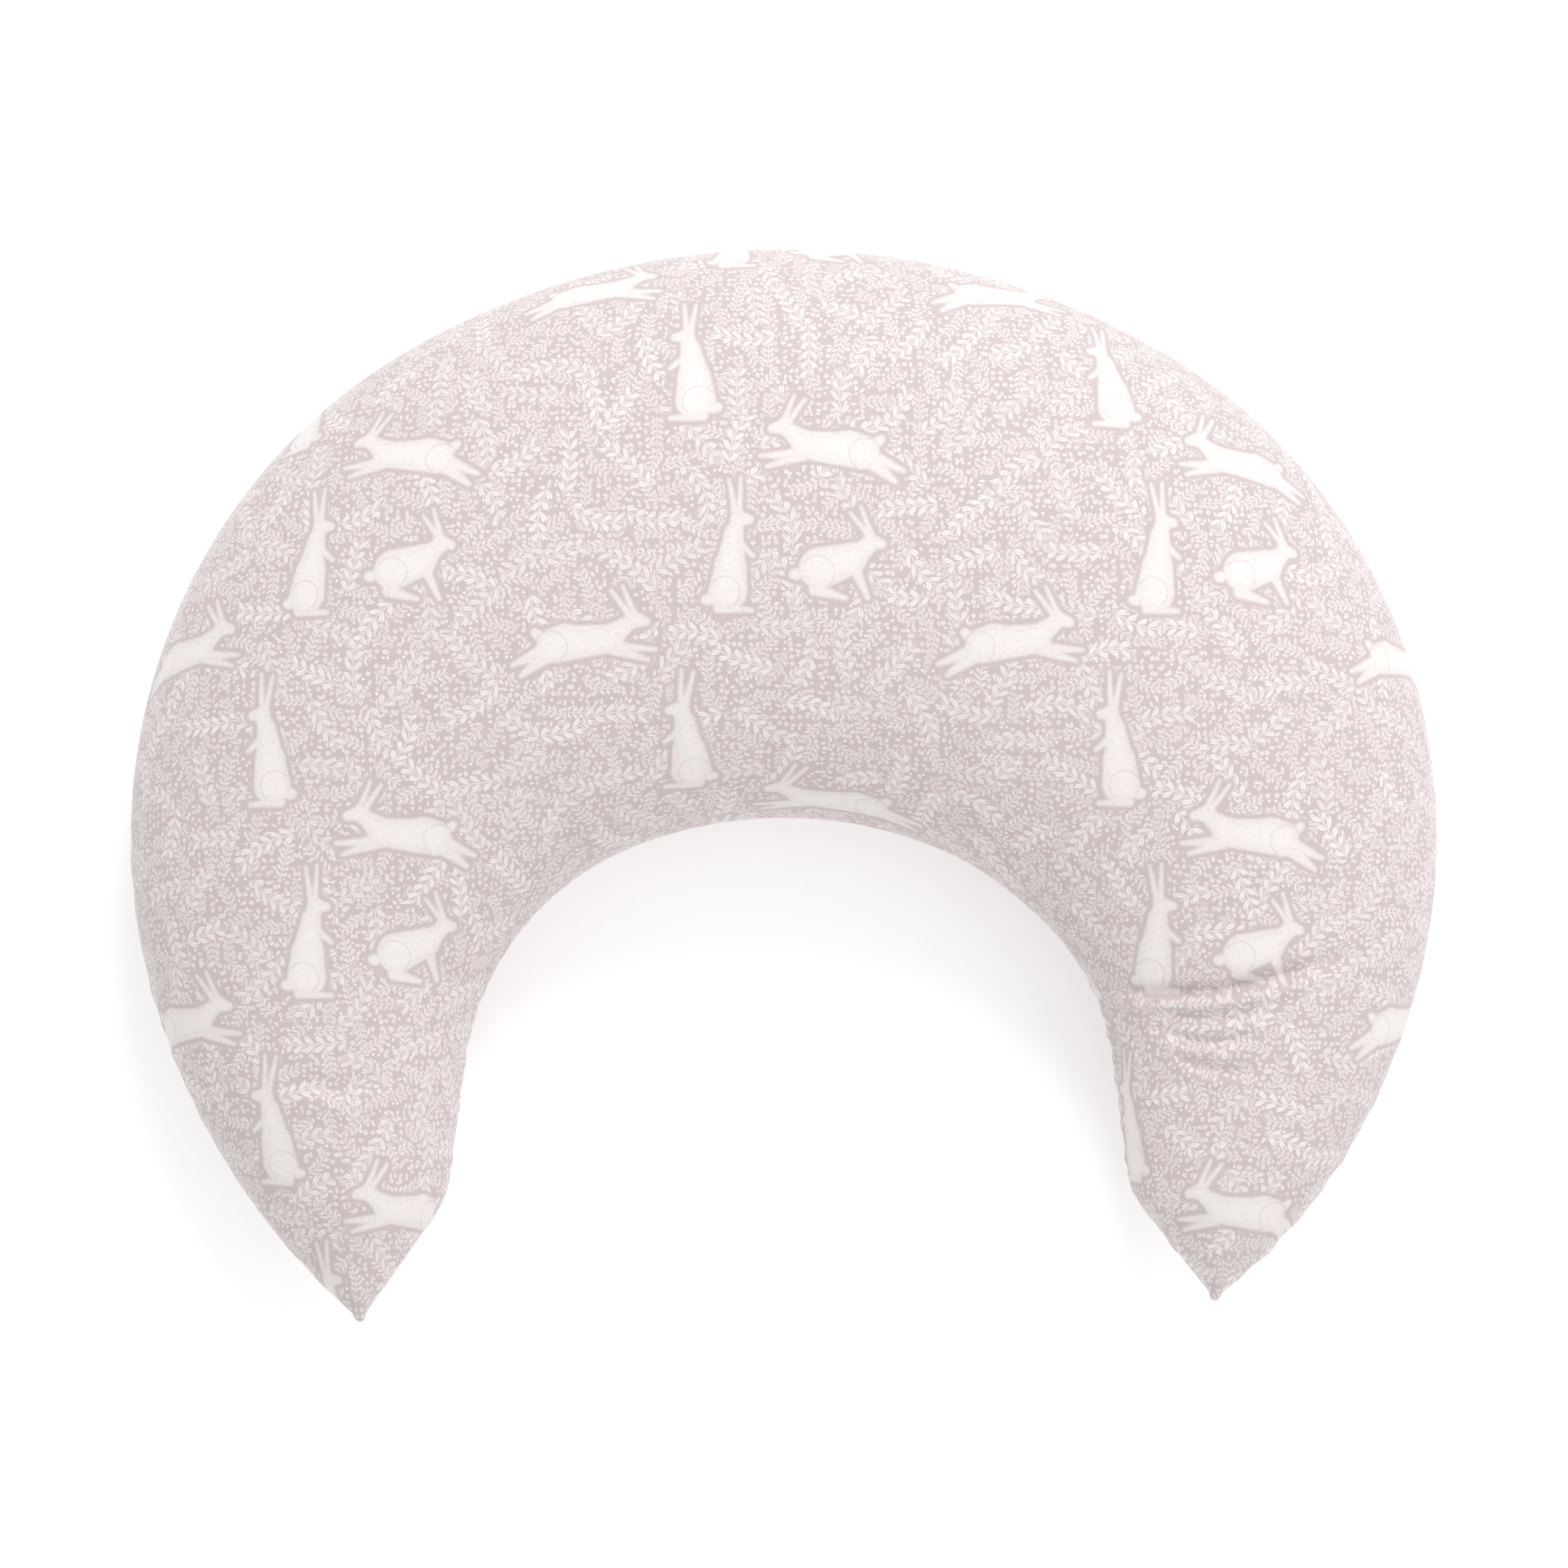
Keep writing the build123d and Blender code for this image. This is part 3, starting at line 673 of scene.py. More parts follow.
def print_material(name):
    """Cotton twill printed with rabbits among leafy sprigs, tone on tone."""
    tree = Tree(name)
    x, y = tree.uv()
    wander = tree.vector(x / 60.0, y / 60.0)
    x = x + (tree.noise(wander, 1.0, 1.0) - 0.5) * 6.0

    leap_x, leap_y = mirrored_rows(x, y, LEAPING_AT, LEAPING_SHIFT)
    up_x, up_y = mirrored_rows(x, y, UPRIGHT_AT, UPRIGHT_SHIFT)
    low_x, low_y = repeat(x, y, CROUCHED_AT)
    body = animal(leap_x, leap_y, LEAPING).min(animal(up_x, up_y, UPRIGHT))
    body = body.min(animal(low_x, low_y, CROUCHED))

    lines = haunch(leap_x, leap_y, LEAPING_HAUNCH).min(haunch(up_x, up_y, UPRIGHT_HAUNCH))
    fuzz = tree.noise(tree.vector(x, y), 1.1, 3.0, 0.7)
    lines = inside(lines.min(haunch(low_x, low_y, CROUCHED_HAUNCH)) - 0.3 + (fuzz - 0.5), 0.6)
    rabbit = inside(body + (fuzz - 0.5) * 2.4, 1.3)
    clear = inside(body - 2.0 + (fuzz - 0.5) * 1.2, 1.2)

    large, large_shape = sprig(tree, x, y, *LARGE_SPRIG)
    middle, middle_shape = sprig(tree, x, y, *MIDDLE_SPRIG)
    middle = middle * (1.0 - inside(large_shape - 0.5, 0.3))
    bare = 1.0 - inside(large_shape.min(middle_shape) - 0.45, 0.3)
    small = ditsy(tree, x, y, *DITSY) * bare
    leaves = large.max(middle).max(small) * (1.0 - clear)

    fur = tree.noise(tree.vector(x, y * 1.3), 0.5, 5.0, 0.8)
    rim = (body / 5.0 + 1.0).clamped()
    coat = tree.mix(((fur - 0.47) * 5.0).clamped() * 0.6 + rim * 0.35 + lines * 0.6, RABBIT, RABBIT_SHADE)
    patch = tree.noise(tree.vector(x, y), 0.03, 2.0)
    ground = tree.mix((patch - 0.35).clamped(), GROUND, dimmed(GROUND, 1.04))
    colour = tree.mix(leaves * 0.95, ground, LEAF)
    colour = tree.mix(rabbit * 0.96, colour, coat)

    turn = 2 * math.pi / WEAVE_PITCH
    weave = (x * turn + y * turn).sin() * 0.5 + (x * turn - y * turn).sin() * 0.25
    slub = tree.noise(tree.vector(x * 0.3, y * 3.0), 1.0, 2.0)
    threads = weave * 0.012 + (slub - 0.5) * 0.03 + 1.0
    tint = tree.node("ShaderNodeHueSaturation", {"Value": threads, "Color": colour})
    tree.shade("Base Color", tint.outputs[0])
    tree.shade("Roughness", 0.88 - rabbit * 0.04)
    tree.shade("Specular IOR Level", 0.25)
    tree.shade("Sheen Weight", 0.25)
    tree.shade("Sheen Roughness", 0.5)
    tree.bump(weave * 0.5 + slub * 0.8, 0.00009, 0.5)
    return tree.material


# ---- Plainer materials -------------------------------------------
def thread_material(name, colour):
    """Spun thread: a fine twist along its length."""
    tree = Tree(name)
    place = tree.place()
    fibre = tree.noise(place, 2600.0, 3.0)
    tree.shade("Base Color", tree.mix(fibre, colour, dimmed(colour, 0.86)))
    tree.shade("Roughness", 0.75)
    tree.shade("Sheen Weight", 0.3)
    tree.bump(fibre, 0.00006, 0.6)
    return tree.material


def woven_material(name, colour, pitch, gloss=0.8):
    """Plain close weave, from a UV map in metres."""
    tree = Tree(name)
    x, y = tree.uv()
    turn = 2 * math.pi / pitch
    warp, weft = (x * turn).sin(), (y * turn).sin()
    weave = warp * weft
    soil = tree.noise(tree.vector(x, y), 0.09, 3.0)
    shade = (weave * 0.03 + (soil - 0.5) * 0.06) + 1.0
    tint = tree.node("ShaderNodeHueSaturation", {"Value": shade, "Color": (*colour, 1.0)})
    tree.shade("Base Color", tint.outputs[0])
    tree.shade("Roughness", gloss)
    tree.shade("Sheen Weight", 0.25)
    tree.bump(weave, 0.00012, 0.5)
    return tree.material


def fleece_material(name, colour, scale, depth):
    """Nonwoven cloth or loose fibre: crossed hair-fine strands."""
    tree = Tree(name)
    place = tree.place()
    strands = tree.noise(place, scale, 6.0, 0.75)
    lumps = tree.noise(place, scale / 14, 2.0)
    tree.shade("Base Color", tree.mix(strands, colour, dimmed(colour, 0.88)))
    tree.shade("Roughness", 0.95)
    tree.shade("Sheen Weight", 0.4)
    tree.bump(strands + lumps, depth, 0.7)
    return tree.material


def enamel_material(name, colour):
    """Painted die casting: slight orange peel, and paint worn a little on its high spots."""
    tree = Tree(name)
    place = tree.place()
    peel = tree.noise(place, 900.0, 2.0)
    worn = tree.value(tree.node("ShaderNodeNewGeometry").outputs["Pointiness"])
    edge = ((worn - 0.53) * 9.0).clamped() * tree.noise(place, 1500.0, 3.0)
    tree.shade("Base Color", tree.mix(edge, colour, linear(190, 188, 186)))
    tree.shade("Metallic", edge * 0.8)
    tree.shade("Roughness", peel * 0.12 + 0.24)
    tree.shade("Coat Weight", 0.4)
    tree.bump(peel, 0.00004, 0.3)
    return tree.material


def nylon_material(name, colour):
    """Moulded nylon: a little light goes in."""
    tree = Tree(name)
    place = tree.place()
    cloud = tree.noise(place, 700.0, 2.0)
    tree.shade("Base Color", tree.mix(cloud, colour, dimmed(colour, 0.93)))
    tree.shade("Roughness", cloud * 0.15 + 0.28)
    tree.shade("Subsurface Weight", 0.1)
    tree.shade("Subsurface Scale", 0.001)
    return tree.material


def make_materials():
    return {
        "print": print_material("printed_cotton"),
        "thread": thread_material("sewing_thread", linear(222, 210, 211)),
        "tape": woven_material("zip_tape_weave", linear(206, 192, 194), 0.7),
        "coil": nylon_material("zip_nylon", linear(212, 198, 200)),
        "enamel": enamel_material("zip_enamel", linear(206, 192, 194)),
        "label": woven_material("label_satin", linear(234, 232, 230), 0.4, 0.5),
        "liner": fleece_material("liner_nonwoven", linear(243, 241, 237), 900.0, 0.00015),
        "fill": fleece_material("hollow_fibre", linear(248, 248, 247), 260.0, 0.0008),
    }


# ---- Places round the zip ----------------------------------------
SEAM_DROP = (BELLY_Z - SEAM_Z) / HALF_HEIGHT
SEAM_R = CROWN_R - HALF_WIDTH * (1 - math.sqrt(1 - SEAM_DROP**2))
SEAM_TILT = math.atan2(SEAM_DROP / HALF_HEIGHT, math.sqrt(1 - SEAM_DROP**2) / HALF_WIDTH)
SLIDER_DEG, LABEL_DEG = 26.2, -31.5
TEETH_FROM_DEG, TEETH_TO_DEG, TAPE_TO_DEG = -26.75, 26.0, 28.7
CLOTH_BEND_R = 52  # the cloth's bend across the zip
TAPE_NEAR, TAPE_FAR, TAPE_OUT, TAPE_THICK = 1.35, 12.9, -2.05, 0.5
TAPE_RIB, TAPE_RIB_AT, TAPE_RIB_WIDTH = 0.12, 4.2, 0.5
COIL_PITCH, COIL_STEPS, COIL_WIRE, COIL_OUT = 1.25, 12, 0.26, -0.1
COIL_MIDDLE, COIL_REACH, COIL_RISE, COIL_HEAD = 1.05, 1.55, 0.72, 0.22
COIL_THREAD_ROWS, COIL_THREAD_OUT, COIL_THREAD_R, COIL_THREAD_WAVE = (1.35, 2.1), 0.93, 0.11, 0.12
SIDES = ((1, "upper"), (-1, "lower"))


def zip_place(degrees, out, up):
    """Points in the zip's frame: an angle clockwise from +Y, out of the cloth and up along it."""
    degrees, out, up = np.broadcast_arrays(*(np.asarray(v, float) for v in (degrees, out, up)))
    turn = np.radians(degrees)
    radius = SEAM_R + out * math.cos(SEAM_TILT) + up * math.sin(SEAM_TILT)
    z = SEAM_Z - out * math.sin(SEAM_TILT) + up * math.cos(SEAM_TILT)
    return np.stack([radius * np.sin(turn), CROWN_Y - CROWN_R + radius * np.cos(turn), z], -1)


def zip_degrees(length):
    return np.degrees(length / SEAM_R)


def cloth_fall(up):
    """How far the cloth's face lies behind the zip's flat, away from the seam plane."""
    return -(up**2) / (2 * CLOTH_BEND_R)


def tube(path, radius, sides=7, closed=False):
    """Vertices and faces of a round tube along points, with a frame that turns as little as it can."""
    path = np.asarray(path)
    if closed:
        tangent = np.roll(path, -1, 0) - np.roll(path, 1, 0)
    else:
        tangent = np.gradient(path, axis=0)
    tangent /= np.linalg.norm(tangent, axis=1, keepdims=True)
    side = np.cross(tangent, [0.13, 0.21, 0.97])
    side /= np.linalg.norm(side, axis=1, keepdims=True)
    over = np.cross(side, tangent)
    turn = np.linspace(0, 2 * math.pi, sides, endpoint=False)
    radius = np.broadcast_to(radius, len(path))[:, None, None]
    ring = np.cos(turn)[None, :, None] * side[:, None] + np.sin(turn)[None, :, None] * over[:, None]
    vertices = (path[:, None] + ring * radius).reshape(-1, 3)
    faces = [f[::-1] for f in grid_faces(len(path), sides, True)]
    last = (len(path) - 1) * sides
    if closed:
        faces += [[last + k, last + (k + 1) % sides, (k + 1) % sides, k] for k in range(sides)]
    else:
        faces += [list(range(sides)), [last + k for k in reversed(range(sides))]]
    return vertices, faces


def tubes_object(name, parts, material):
    """Many tubes as one object."""
    vertices, faces, count = [], [], 0
    for part_vertices, part_faces in parts:
        vertices.append(part_vertices)
        faces += [[count + k for k in face] for face in part_faces]
        count += len(part_vertices)
    return new_object(name, np.concatenate(vertices) * MM, faces, material)


# ---- Zip ---------------------------------------------------------
def make_tapes(material):
    for side, word in SIDES:
        degrees = np.linspace(-TAPE_TO_DEG, TAPE_TO_DEG, 241)[:, None]
        up = side * np.linspace(TAPE_NEAR, TAPE_FAR, 14)[None, :]
        rib = TAPE_RIB * np.exp(-(((np.abs(up) - TAPE_RIB_AT) / TAPE_RIB_WIDTH) ** 2))
        points = zip_place(degrees, TAPE_OUT + cloth_fall(up) + rib, up)
        prints = np.stack(np.broadcast_arrays(np.radians(degrees) * SEAM_R, up), -1)
        tape = grid_object(f"tape_{word}", points if side < 0 else points[::-1], material, prints)
        thicken(tape, TAPE_THICK)
        stand_for(tape, "pillow", "zip_tape", f"zip_tape_{word}")


def make_coils(material, thread):
    """Two wound coils whose loops reach between each other, each sewn to its tape by two threads."""
    turns = int(math.radians(TEETH_TO_DEG - TEETH_FROM_DEG) * SEAM_R / COIL_PITCH) - 2
    for side, word in SIDES:
        k = np.arange(turns * COIL_STEPS)
        turn = 2 * math.pi * k / COIL_STEPS
        start = 0.75 if side > 0 else 1.25
        degrees = TEETH_FROM_DEG + zip_degrees((k / COIL_STEPS + start) * COIL_PITCH)
        reach = COIL_MIDDLE + COIL_REACH * np.cos(turn)
        head = COIL_HEAD * np.exp(-(((np.cos(turn) + 1) / 0.25) ** 2))
        wire = tube(zip_place(degrees, COIL_OUT + COIL_RISE * np.sin(turn), side * reach), COIL_WIRE + head)
        coil = tubes_object(f"coil_{word}", [wire], material)
        stand_for(coil, "pillow", "zip_coil", f"zip_teeth_{word}")
        length = np.arange(turns * 4) * COIL_PITCH / 4
        wave = np.sin(length * 2 * math.pi / COIL_PITCH) * COIL_THREAD_WAVE
        place = TEETH_FROM_DEG + zip_degrees(length + COIL_PITCH)
        out = COIL_THREAD_OUT + wave / 2
        rows = [zip_place(place, out, side * (row + wave)) for row in COIL_THREAD_ROWS]
        sewn = [tube(row, COIL_THREAD_R, 5) for row in rows]
        stand_for(tubes_object(f"coil_stitching_{word}", sewn, thread), "pillow", "sewing_thread")


def plate(outline_points, low, high, edge=0.25, holes=()):
    """A flat casting at the slider: an outline in (along, up), between two heights out of the cloth."""
    mesh_curve = bpy.data.curves.new("plate", "CURVE")
    mesh_curve.dimensions = "2D"
    mesh_curve.fill_mode = "BOTH"
    mesh_curve.extrude = (high - low) / 2 - edge
    mesh_curve.bevel_depth = edge
    mesh_curve.offset = -edge
    mesh_curve.bevel_resolution = 2
    for loop in (outline_points, *holes):
        spline = mesh_curve.splines.new("POLY")
        spline.points.add(len(loop) - 1)
        spline.use_cyclic_u = True
        for point, (along, up) in zip(spline.points, loop):
            point.co = (along, up, 0, 1)
    curve = bpy.data.objects.new("plate", mesh_curve)
    bpy.context.scene.collection.objects.link(curve)
    bpy.context.view_layer.update()
    mesh = bpy.data.meshes.new_from_object(curve.evaluated_get(bpy.context.evaluated_depsgraph_get()))
    bpy.data.objects.remove(curve)
    vertices = np.array([v.co for v in mesh.vertices])
    faces = [list(p.vertices) for p in mesh.polygons]
    bpy.data.meshes.remove(mesh)
    place = SLIDER_DEG - zip_degrees(vertices[:, 0])
    return zip_place(place, (low + high) / 2 + vertices[:, 2], vertices[:, 1]), faces


def oval(centre, half_length, half_width, power, count=48, taper=0.0):
    """A rounded outline in (along, up); taper narrows its far end."""
    turn = np.linspace(0, 2 * math.pi, count, endpoint=False)
    c, s = np.cos(turn), np.sin(turn)
    along = np.sign(c) * np.abs(c) ** (2 / power)
    up = np.sign(s) * np.abs(s) ** (2 / power) * (1 - taper * (along + 1) / 2)
    return [(centre + a * half_length, u * half_width) for a, u in zip(along, up)]


# Heights out of the cloth of the wings over and under the chain and of the pull.
WING, FOOT, PULL_LEVEL, PULL_HALF = (1.2, 2.2), (-4.0, -3.0), 3.0, 0.55
WING_TAPER, FLANGE = 0.22, [(-3.4, 3.25), (3.4, 2.75), (3.4, 3.2), (-3.4, 3.9)]
BRIDGE_HALF, BRIDGE_FOOT, BRIDGE_RISE, BRIDGE_R = 3.0, 2.0, 2.35, 0.5


def make_slider(material):
    """Die-cast slider: wings over and under the chain, their post and flanges, and an arched bridge."""
    top = plate(oval(0, 5.0, 4.0, 3.2, taper=WING_TAPER), *WING)
    foot = plate(oval(0, 4.9, 3.5, 3.2, taper=WING_TAPER), *FOOT)
    post = plate(oval(-3.8, 1.15, 0.95, 2.4), FOOT[1] - 0.1, WING[0] + 0.1, 0.1)
    flanges = [plate([(along, side * up) for along, up in FLANGE], -0.8, 1.4, 0.12) for side in (1, -1)]
    turn = np.linspace(0, math.pi, 19)
    degrees = SLIDER_DEG - zip_degrees(BRIDGE_HALF * np.cos(turn))
    arch = tube(zip_place(degrees, BRIDGE_FOOT + BRIDGE_RISE * np.sin(turn) ** 0.7, 0 * turn), BRIDGE_R, 10)
    slider = tubes_object("slider", [top, foot, post, *flanges, arch], material)
    stand_for(slider, "slider", "zip_metal", "zip_slider")


def make_pull(material):
    """A flat tab with a rounded window at one end for the bridge, and a small eye at the other."""
    window, eye = oval(2.1, 2.3, 1.45, 3.0, 32), oval(17.4, 1.5, 1.5, 2.0, 28)
    face = PULL_LEVEL + PULL_HALF
    tab = plate(oval(10.6, 11.2, 3.1, 3.4, 64), PULL_LEVEL - PULL_HALF, face, 0.28, (window, eye))
    panel = plate(oval(10.2, 4.2, 1.7, 3.4), face - 0.1, face + 0.2, 0.12)
    stand_for(tubes_object("pull", [tab, panel], material), "pull", "zip_metal", "zip_pull")


STITCH_SUNK = 0.35  # how deep a stitch's ends lie in the cloth
TOPSTITCH, TOPSTITCH_PITCH, TOPSTITCH_TO_DEG = 2.3, 3.1, 28.0
TOPSTITCH_ROWS = ((7.5, "upper"), (-7.0, "lower"))


def stitch(start, end, radius, lift, outward):
    """One stitch: a short thread that comes up out of the cloth and goes down again."""
    t = np.linspace(0, 1, 7)[:, None]
    rise = (np.sin(math.pi * t) ** 0.6 * (lift + STITCH_SUNK) - STITCH_SUNK) * outward
    return tube(start + (end - start) * t + rise, radius, 6)


def make_topstitching(material):
    """Two rows of stitches beside the zip, on the faces of the panels."""
    count = int(2 * math.radians(TOPSTITCH_TO_DEG) * CROWN_R / TOPSTITCH_PITCH)
    starts = -TOPSTITCH_TO_DEG + np.degrees(np.arange(count) * TOPSTITCH_PITCH / CROWN_R)
    for rise, word in TOPSTITCH_ROWS:
        parts = []
        for degrees in starts:
            ends = np.array([degrees, degrees + math.degrees(TOPSTITCH / CROWN_R)])
            points, outward = cover_surface(ends, rise)
            parts.append(stitch(points[0], points[1], 0.27, 0.3, outward[0]))
        row = tubes_object(f"topstitching_{word}", parts, material)
        stand_for(row, "pillow", "sewing_thread", f"zip_topstitch_{word}")


def cover_surface(degrees, rise):
    """Points on the cover's face at angles on the crown and a height over the seam, and the outward way."""
    stations = Stations(np.radians(degrees) * CROWN_R / OUTER_LENGTH, caps=0)
    angle = stations.angle_at(SEAM_Z + rise)
    points = stations.points(angle[:, None])[:, 0]
    plan = stations.rung * (np.cos(angle) / stations.half)[:, None]
    outward = np.concatenate([plan, (np.sin(angle) / stations.height)[:, None]], 1)
    return points, outward / np.linalg.norm(outward, axis=1, keepdims=True)


# ---- Care label --------------------------------------------------
def make_label(material):
    """A blank folded ribbon: down, round a tight fold and up again, with a slight curl."""
    width, drop, gap = 25.0, 31.0, 0.75
    start, lift = -1.0, 2.6
    down = np.linspace(0, 1, 26)
    fold = np.linspace(0, math.pi, 9)[1:-1]
    front = np.stack([start - drop * down, lift + gap + 1.2 * np.sin(down * 2.2) * down], 1)
    back = front[::-1] - [0, gap]
    turn = front[-1] - gap / 2 * np.stack([np.sin(fold), 1 - np.cos(fold)], 1)
    path = np.concatenate([front, turn, back])
    across = np.linspace(-width / 2, width / 2, 22)
    degrees = LABEL_DEG + zip_degrees(across)[None, :]
    curl = 0.5 * (across / (width / 2))[None, :] ** 2 * (path[:, 0] / -drop)[:, None]
    points = zip_place(degrees, path[:, 1][:, None] + curl, path[:, 0][:, None])
    run = np.concatenate([[0], np.cumsum(np.linalg.norm(np.diff(path, axis=0), axis=1))])
    prints = np.stack(np.broadcast_arrays(across[None, :], run[:, None]), -1)
    label = grid_object("care_label_ribbon", points, material, prints)
    thicken(label, 0.22)
    stand_for(label, "label", "label_ribbon", "care_label")


# ---- Inner cushion -----------------------------------------------
RING_TO, RING_NARROWEST = 0.985, 1.2
THREAD_FROM_DEG = 29.2  # the cover's seam stops at the zip
# Each seam thread: its inset from the cover's face, and its height.
SEAM_THREADS = (
    ("cover_needle", 4.4, 58.8), ("cover_bobbin", 4.4, 53.2),
    ("liner_needle", 17.9, 58.6), ("liner_bobbin", 17.9, 53.4),
)
LINER_TO, LINER_SEAM_GAP, LINER_THICK = 0.968, 0.8, 0.6
FILL_TO = 0.947
WHIP_COUNT, WHIP_PITCH, WHIP_LEAN, WHIP_HALF, WHIP_SUNK = 24, 1.4, 0.28, 2.3, 0.9


def ring_path(plan_inset, z):
    """A closed line round the crescent at one height, set in from the cover's face."""
    stations = Stations(np.linspace(-RING_TO, RING_TO, 450), plan_inset, caps=0)
    keep = stations.half > RING_NARROWEST
    angle = stations.angle_at(z)
    out = stations.points(angle[:, None])[:, 0][keep]
    back = stations.points(math.pi - angle[:, None])[:, 0][keep]
    return np.concatenate([out, back[::-1]])


def make_seam_threads(material):
    """The lock stitches of both seams, as one needle thread and one bobbin thread each."""
    for name, inset, z in SEAM_THREADS:
        path = ring_path(inset, z)
        if name.startswith("cover"):
            x, y = path[:, 0], path[:, 1] - (CROWN_Y - CROWN_R)
            degrees = np.degrees(np.arctan2(x, y))
            at_zip = (np.abs(degrees) < THREAD_FROM_DEG) & (np.hypot(x, y) > SEAM_R - 20)
            first = int(np.flatnonzero(at_zip)[-1]) + 1
            path = np.roll(path, -first, 0)[: int((~at_zip).sum())]
        wave = np.sin(np.arange(len(path)) * 1.9)
        path[:, 2] += 0.12 * wave
        thread = tube(path, 0.25, 6, closed=not name.startswith("cover"))
        thread = tubes_object(f"{name}_stitches", [thread], material)
        stand_for(thread, "pillow", "sewing_thread", f"{name}_thread")


def make_liner(material):
    """The inner cushion's two panels."""
    stations = Stations(np.linspace(-LINER_TO, LINER_TO, 361), LINER_INSET, LINER_FLOOR)
    for upper, count, node in ((True, 84, "liner_top_panel"), (False, 46, "liner_bottom_panel")):
        t = np.linspace(0, 1, count)
        outer = stations.angle_at(SEAM_Z + (LINER_SEAM_GAP if upper else -LINER_SEAM_GAP))
        inner = math.pi - outer
        angle = fan(outer, inner, t) if upper else fan(inner, 2 * math.pi + outer, t)
        points = stations.points(angle, LINER_FLOOR)
        normal = normals(points)
        run, over = stations.signed[:, None] * 700, t[None, :] * 40
        slack = 0.5 + 0.5 * np.sin(run / 17 + 3 * np.sin(over / 5)) * np.sin(over / 3 + run / 60)
        points = points - normal * slack[..., None]
        if upper:
            points = crease(points, under=True)
        panel = grid_object(node.replace("_panel", "_cloth"), points, material)
        thicken(panel, LINER_THICK, 1)
        stand_for(panel, "pillow", "liner_cloth", node)


def make_closing_stitches(material):
    """Whip stitches over the liner's seam at the mouth."""
    drop = (BELLY_Z - SEAM_Z) / (HALF_HEIGHT - LINER_FLOOR)
    face = MOUTH_R + LINER_INSET + (HALF_WIDTH - LINER_INSET) * (1 - math.sqrt(1 - drop**2)) - WHIP_SUNK
    parts = []
    for k in range(WHIP_COUNT):
        middle = (k - (WHIP_COUNT - 1) / 2) * WHIP_PITCH
        ends = []
        for way in (-1, 1):
            turn = math.radians(middle + way * WHIP_LEAN)
            x, y = face * math.sin(turn), MOUTH_Y - MOUTH_R + face * math.cos(turn)
            ends.append(np.array([x, y, SEAM_Z + way * WHIP_HALF]))
        turn = math.radians(middle)
        parts.append(stitch(*ends, 0.24, 0.35, -np.array([math.sin(turn), math.cos(turn), 0])))
    stitches = tubes_object("closing_stitches", parts, material)
    stand_for(stitches, "pillow", "sewing_thread", "liner_closing_stitches")


def make_fill(material):
    """The filling as one lumpy mass."""
    stations = Stations(np.linspace(-FILL_TO, FILL_TO, 181), FILL_INSET, FILL_FLOOR)
    angle = np.broadcast_to(np.linspace(0, 2 * math.pi, 96, endpoint=False), (len(stations.half), 96))
    points = stations.points(angle, FILL_FLOOR)
    normal = np.concatenate([points[:, -1:], points, points[:, :1]], 1)
    normal = normals(normal)[:, 1:-1]
    x, y, z = (points[..., k] for k in range(3))
    lumps = np.sin(x / 11 + 2 * np.sin(z / 19)) * np.sin(y / 13 + np.sin(x / 23)) * np.sin(z / 9 + 1)
    points = crease(points - normal * (1.1 + 1.0 * lumps)[..., None], under=True)
    fill = grid_object("hollow_fibre_fill", points, material, closed=True)
    apply_modifier(fill, "WELD", merge_threshold=WELD_GAP * MM)
    stand_for(fill, "pillow", "filling", "fibre_fill")


# ---- Cloth simulation --------------------------------------------
SIM_ALONG, SIM_TOP, SIM_BOTTOM = 170, 46, 34
SIM_FRAMES, SIM_CAP, SIM_TIP_ROWS = 18, 7.0, 3
CLOTH = {
    "quality": 5, "mass": 0.2, "tension_stiffness": 12, "compression_stiffness": 12, "shear_stiffness": 4,
    "bending_stiffness": 0.15, "use_pressure": True, "uniform_pressure_force": 4,
    "vertex_group_shrink": "seams", "shrink_min": -0.035, "shrink_max": 0.03,
}
TIP_CALM, ZIP_CALM = 0.03, 0.12  # shares of the way along and across over which the displacement fades in
REST_BAND, REST_CLEAR = 6, 0.1  # below this height no point may come closer to the floor than the clearance


def simulate_cover():
    """Fills the sewn cover with pressure; returns how far each point of its grid settles."""
    stations = Stations(np.linspace(-1, 1, SIM_ALONG + 1), caps=SIM_TIP_ROWS)
    outer = stations.angle_at(SEAM_Z)
    inner = math.pi - outer
    top = fan(outer, inner, np.linspace(0, 1, SIM_TOP, endpoint=False))
    bottom = fan(inner, 2 * math.pi + outer, np.linspace(0, 1, SIM_BOTTOM, endpoint=False))
    points = stations.points(np.concatenate([top, bottom], 1))
    rows, columns = points.shape[:2]
    cloth = grid_object("cover_sim", points, None, closed=True)
    seams = cloth.vertex_groups.new(name="seams")
    index = np.arange(rows * columns).reshape(rows, columns)
    seams.add(index[:, [0, SIM_TOP]].ravel().tolist(), 1.0, "REPLACE")
    near = np.concatenate([index[:, [1, -1]], index[:, [SIM_TOP - 1, SIM_TOP + 1]]], 1)
    seams.add(near.ravel().tolist(), 0.5, "REPLACE")
    modifier = cloth.modifiers.new("cloth", "CLOTH")
    settings = modifier.settings
    for key, value in CLOTH.items():
        setattr(settings, key, value)
    settings.effector_weights.gravity = 0
    modifier.point_cache.frame_start, modifier.point_cache.frame_end = 1, SIM_FRAMES
    scene = bpy.context.scene
    for number in range(1, SIM_FRAMES + 1):
        scene.frame_set(number)
    settled = cloth.evaluated_get(bpy.context.evaluated_depsgraph_get()).to_mesh()
    after = np.zeros(rows * columns * 3)
    settled.vertices.foreach_get("co", after)
    scene.frame_set(1)
    moved = after.reshape(rows, columns, 3) / MM - points
    bpy.data.objects.remove(cloth)
    moved -= moved.mean((0, 1))
    return stations, moved


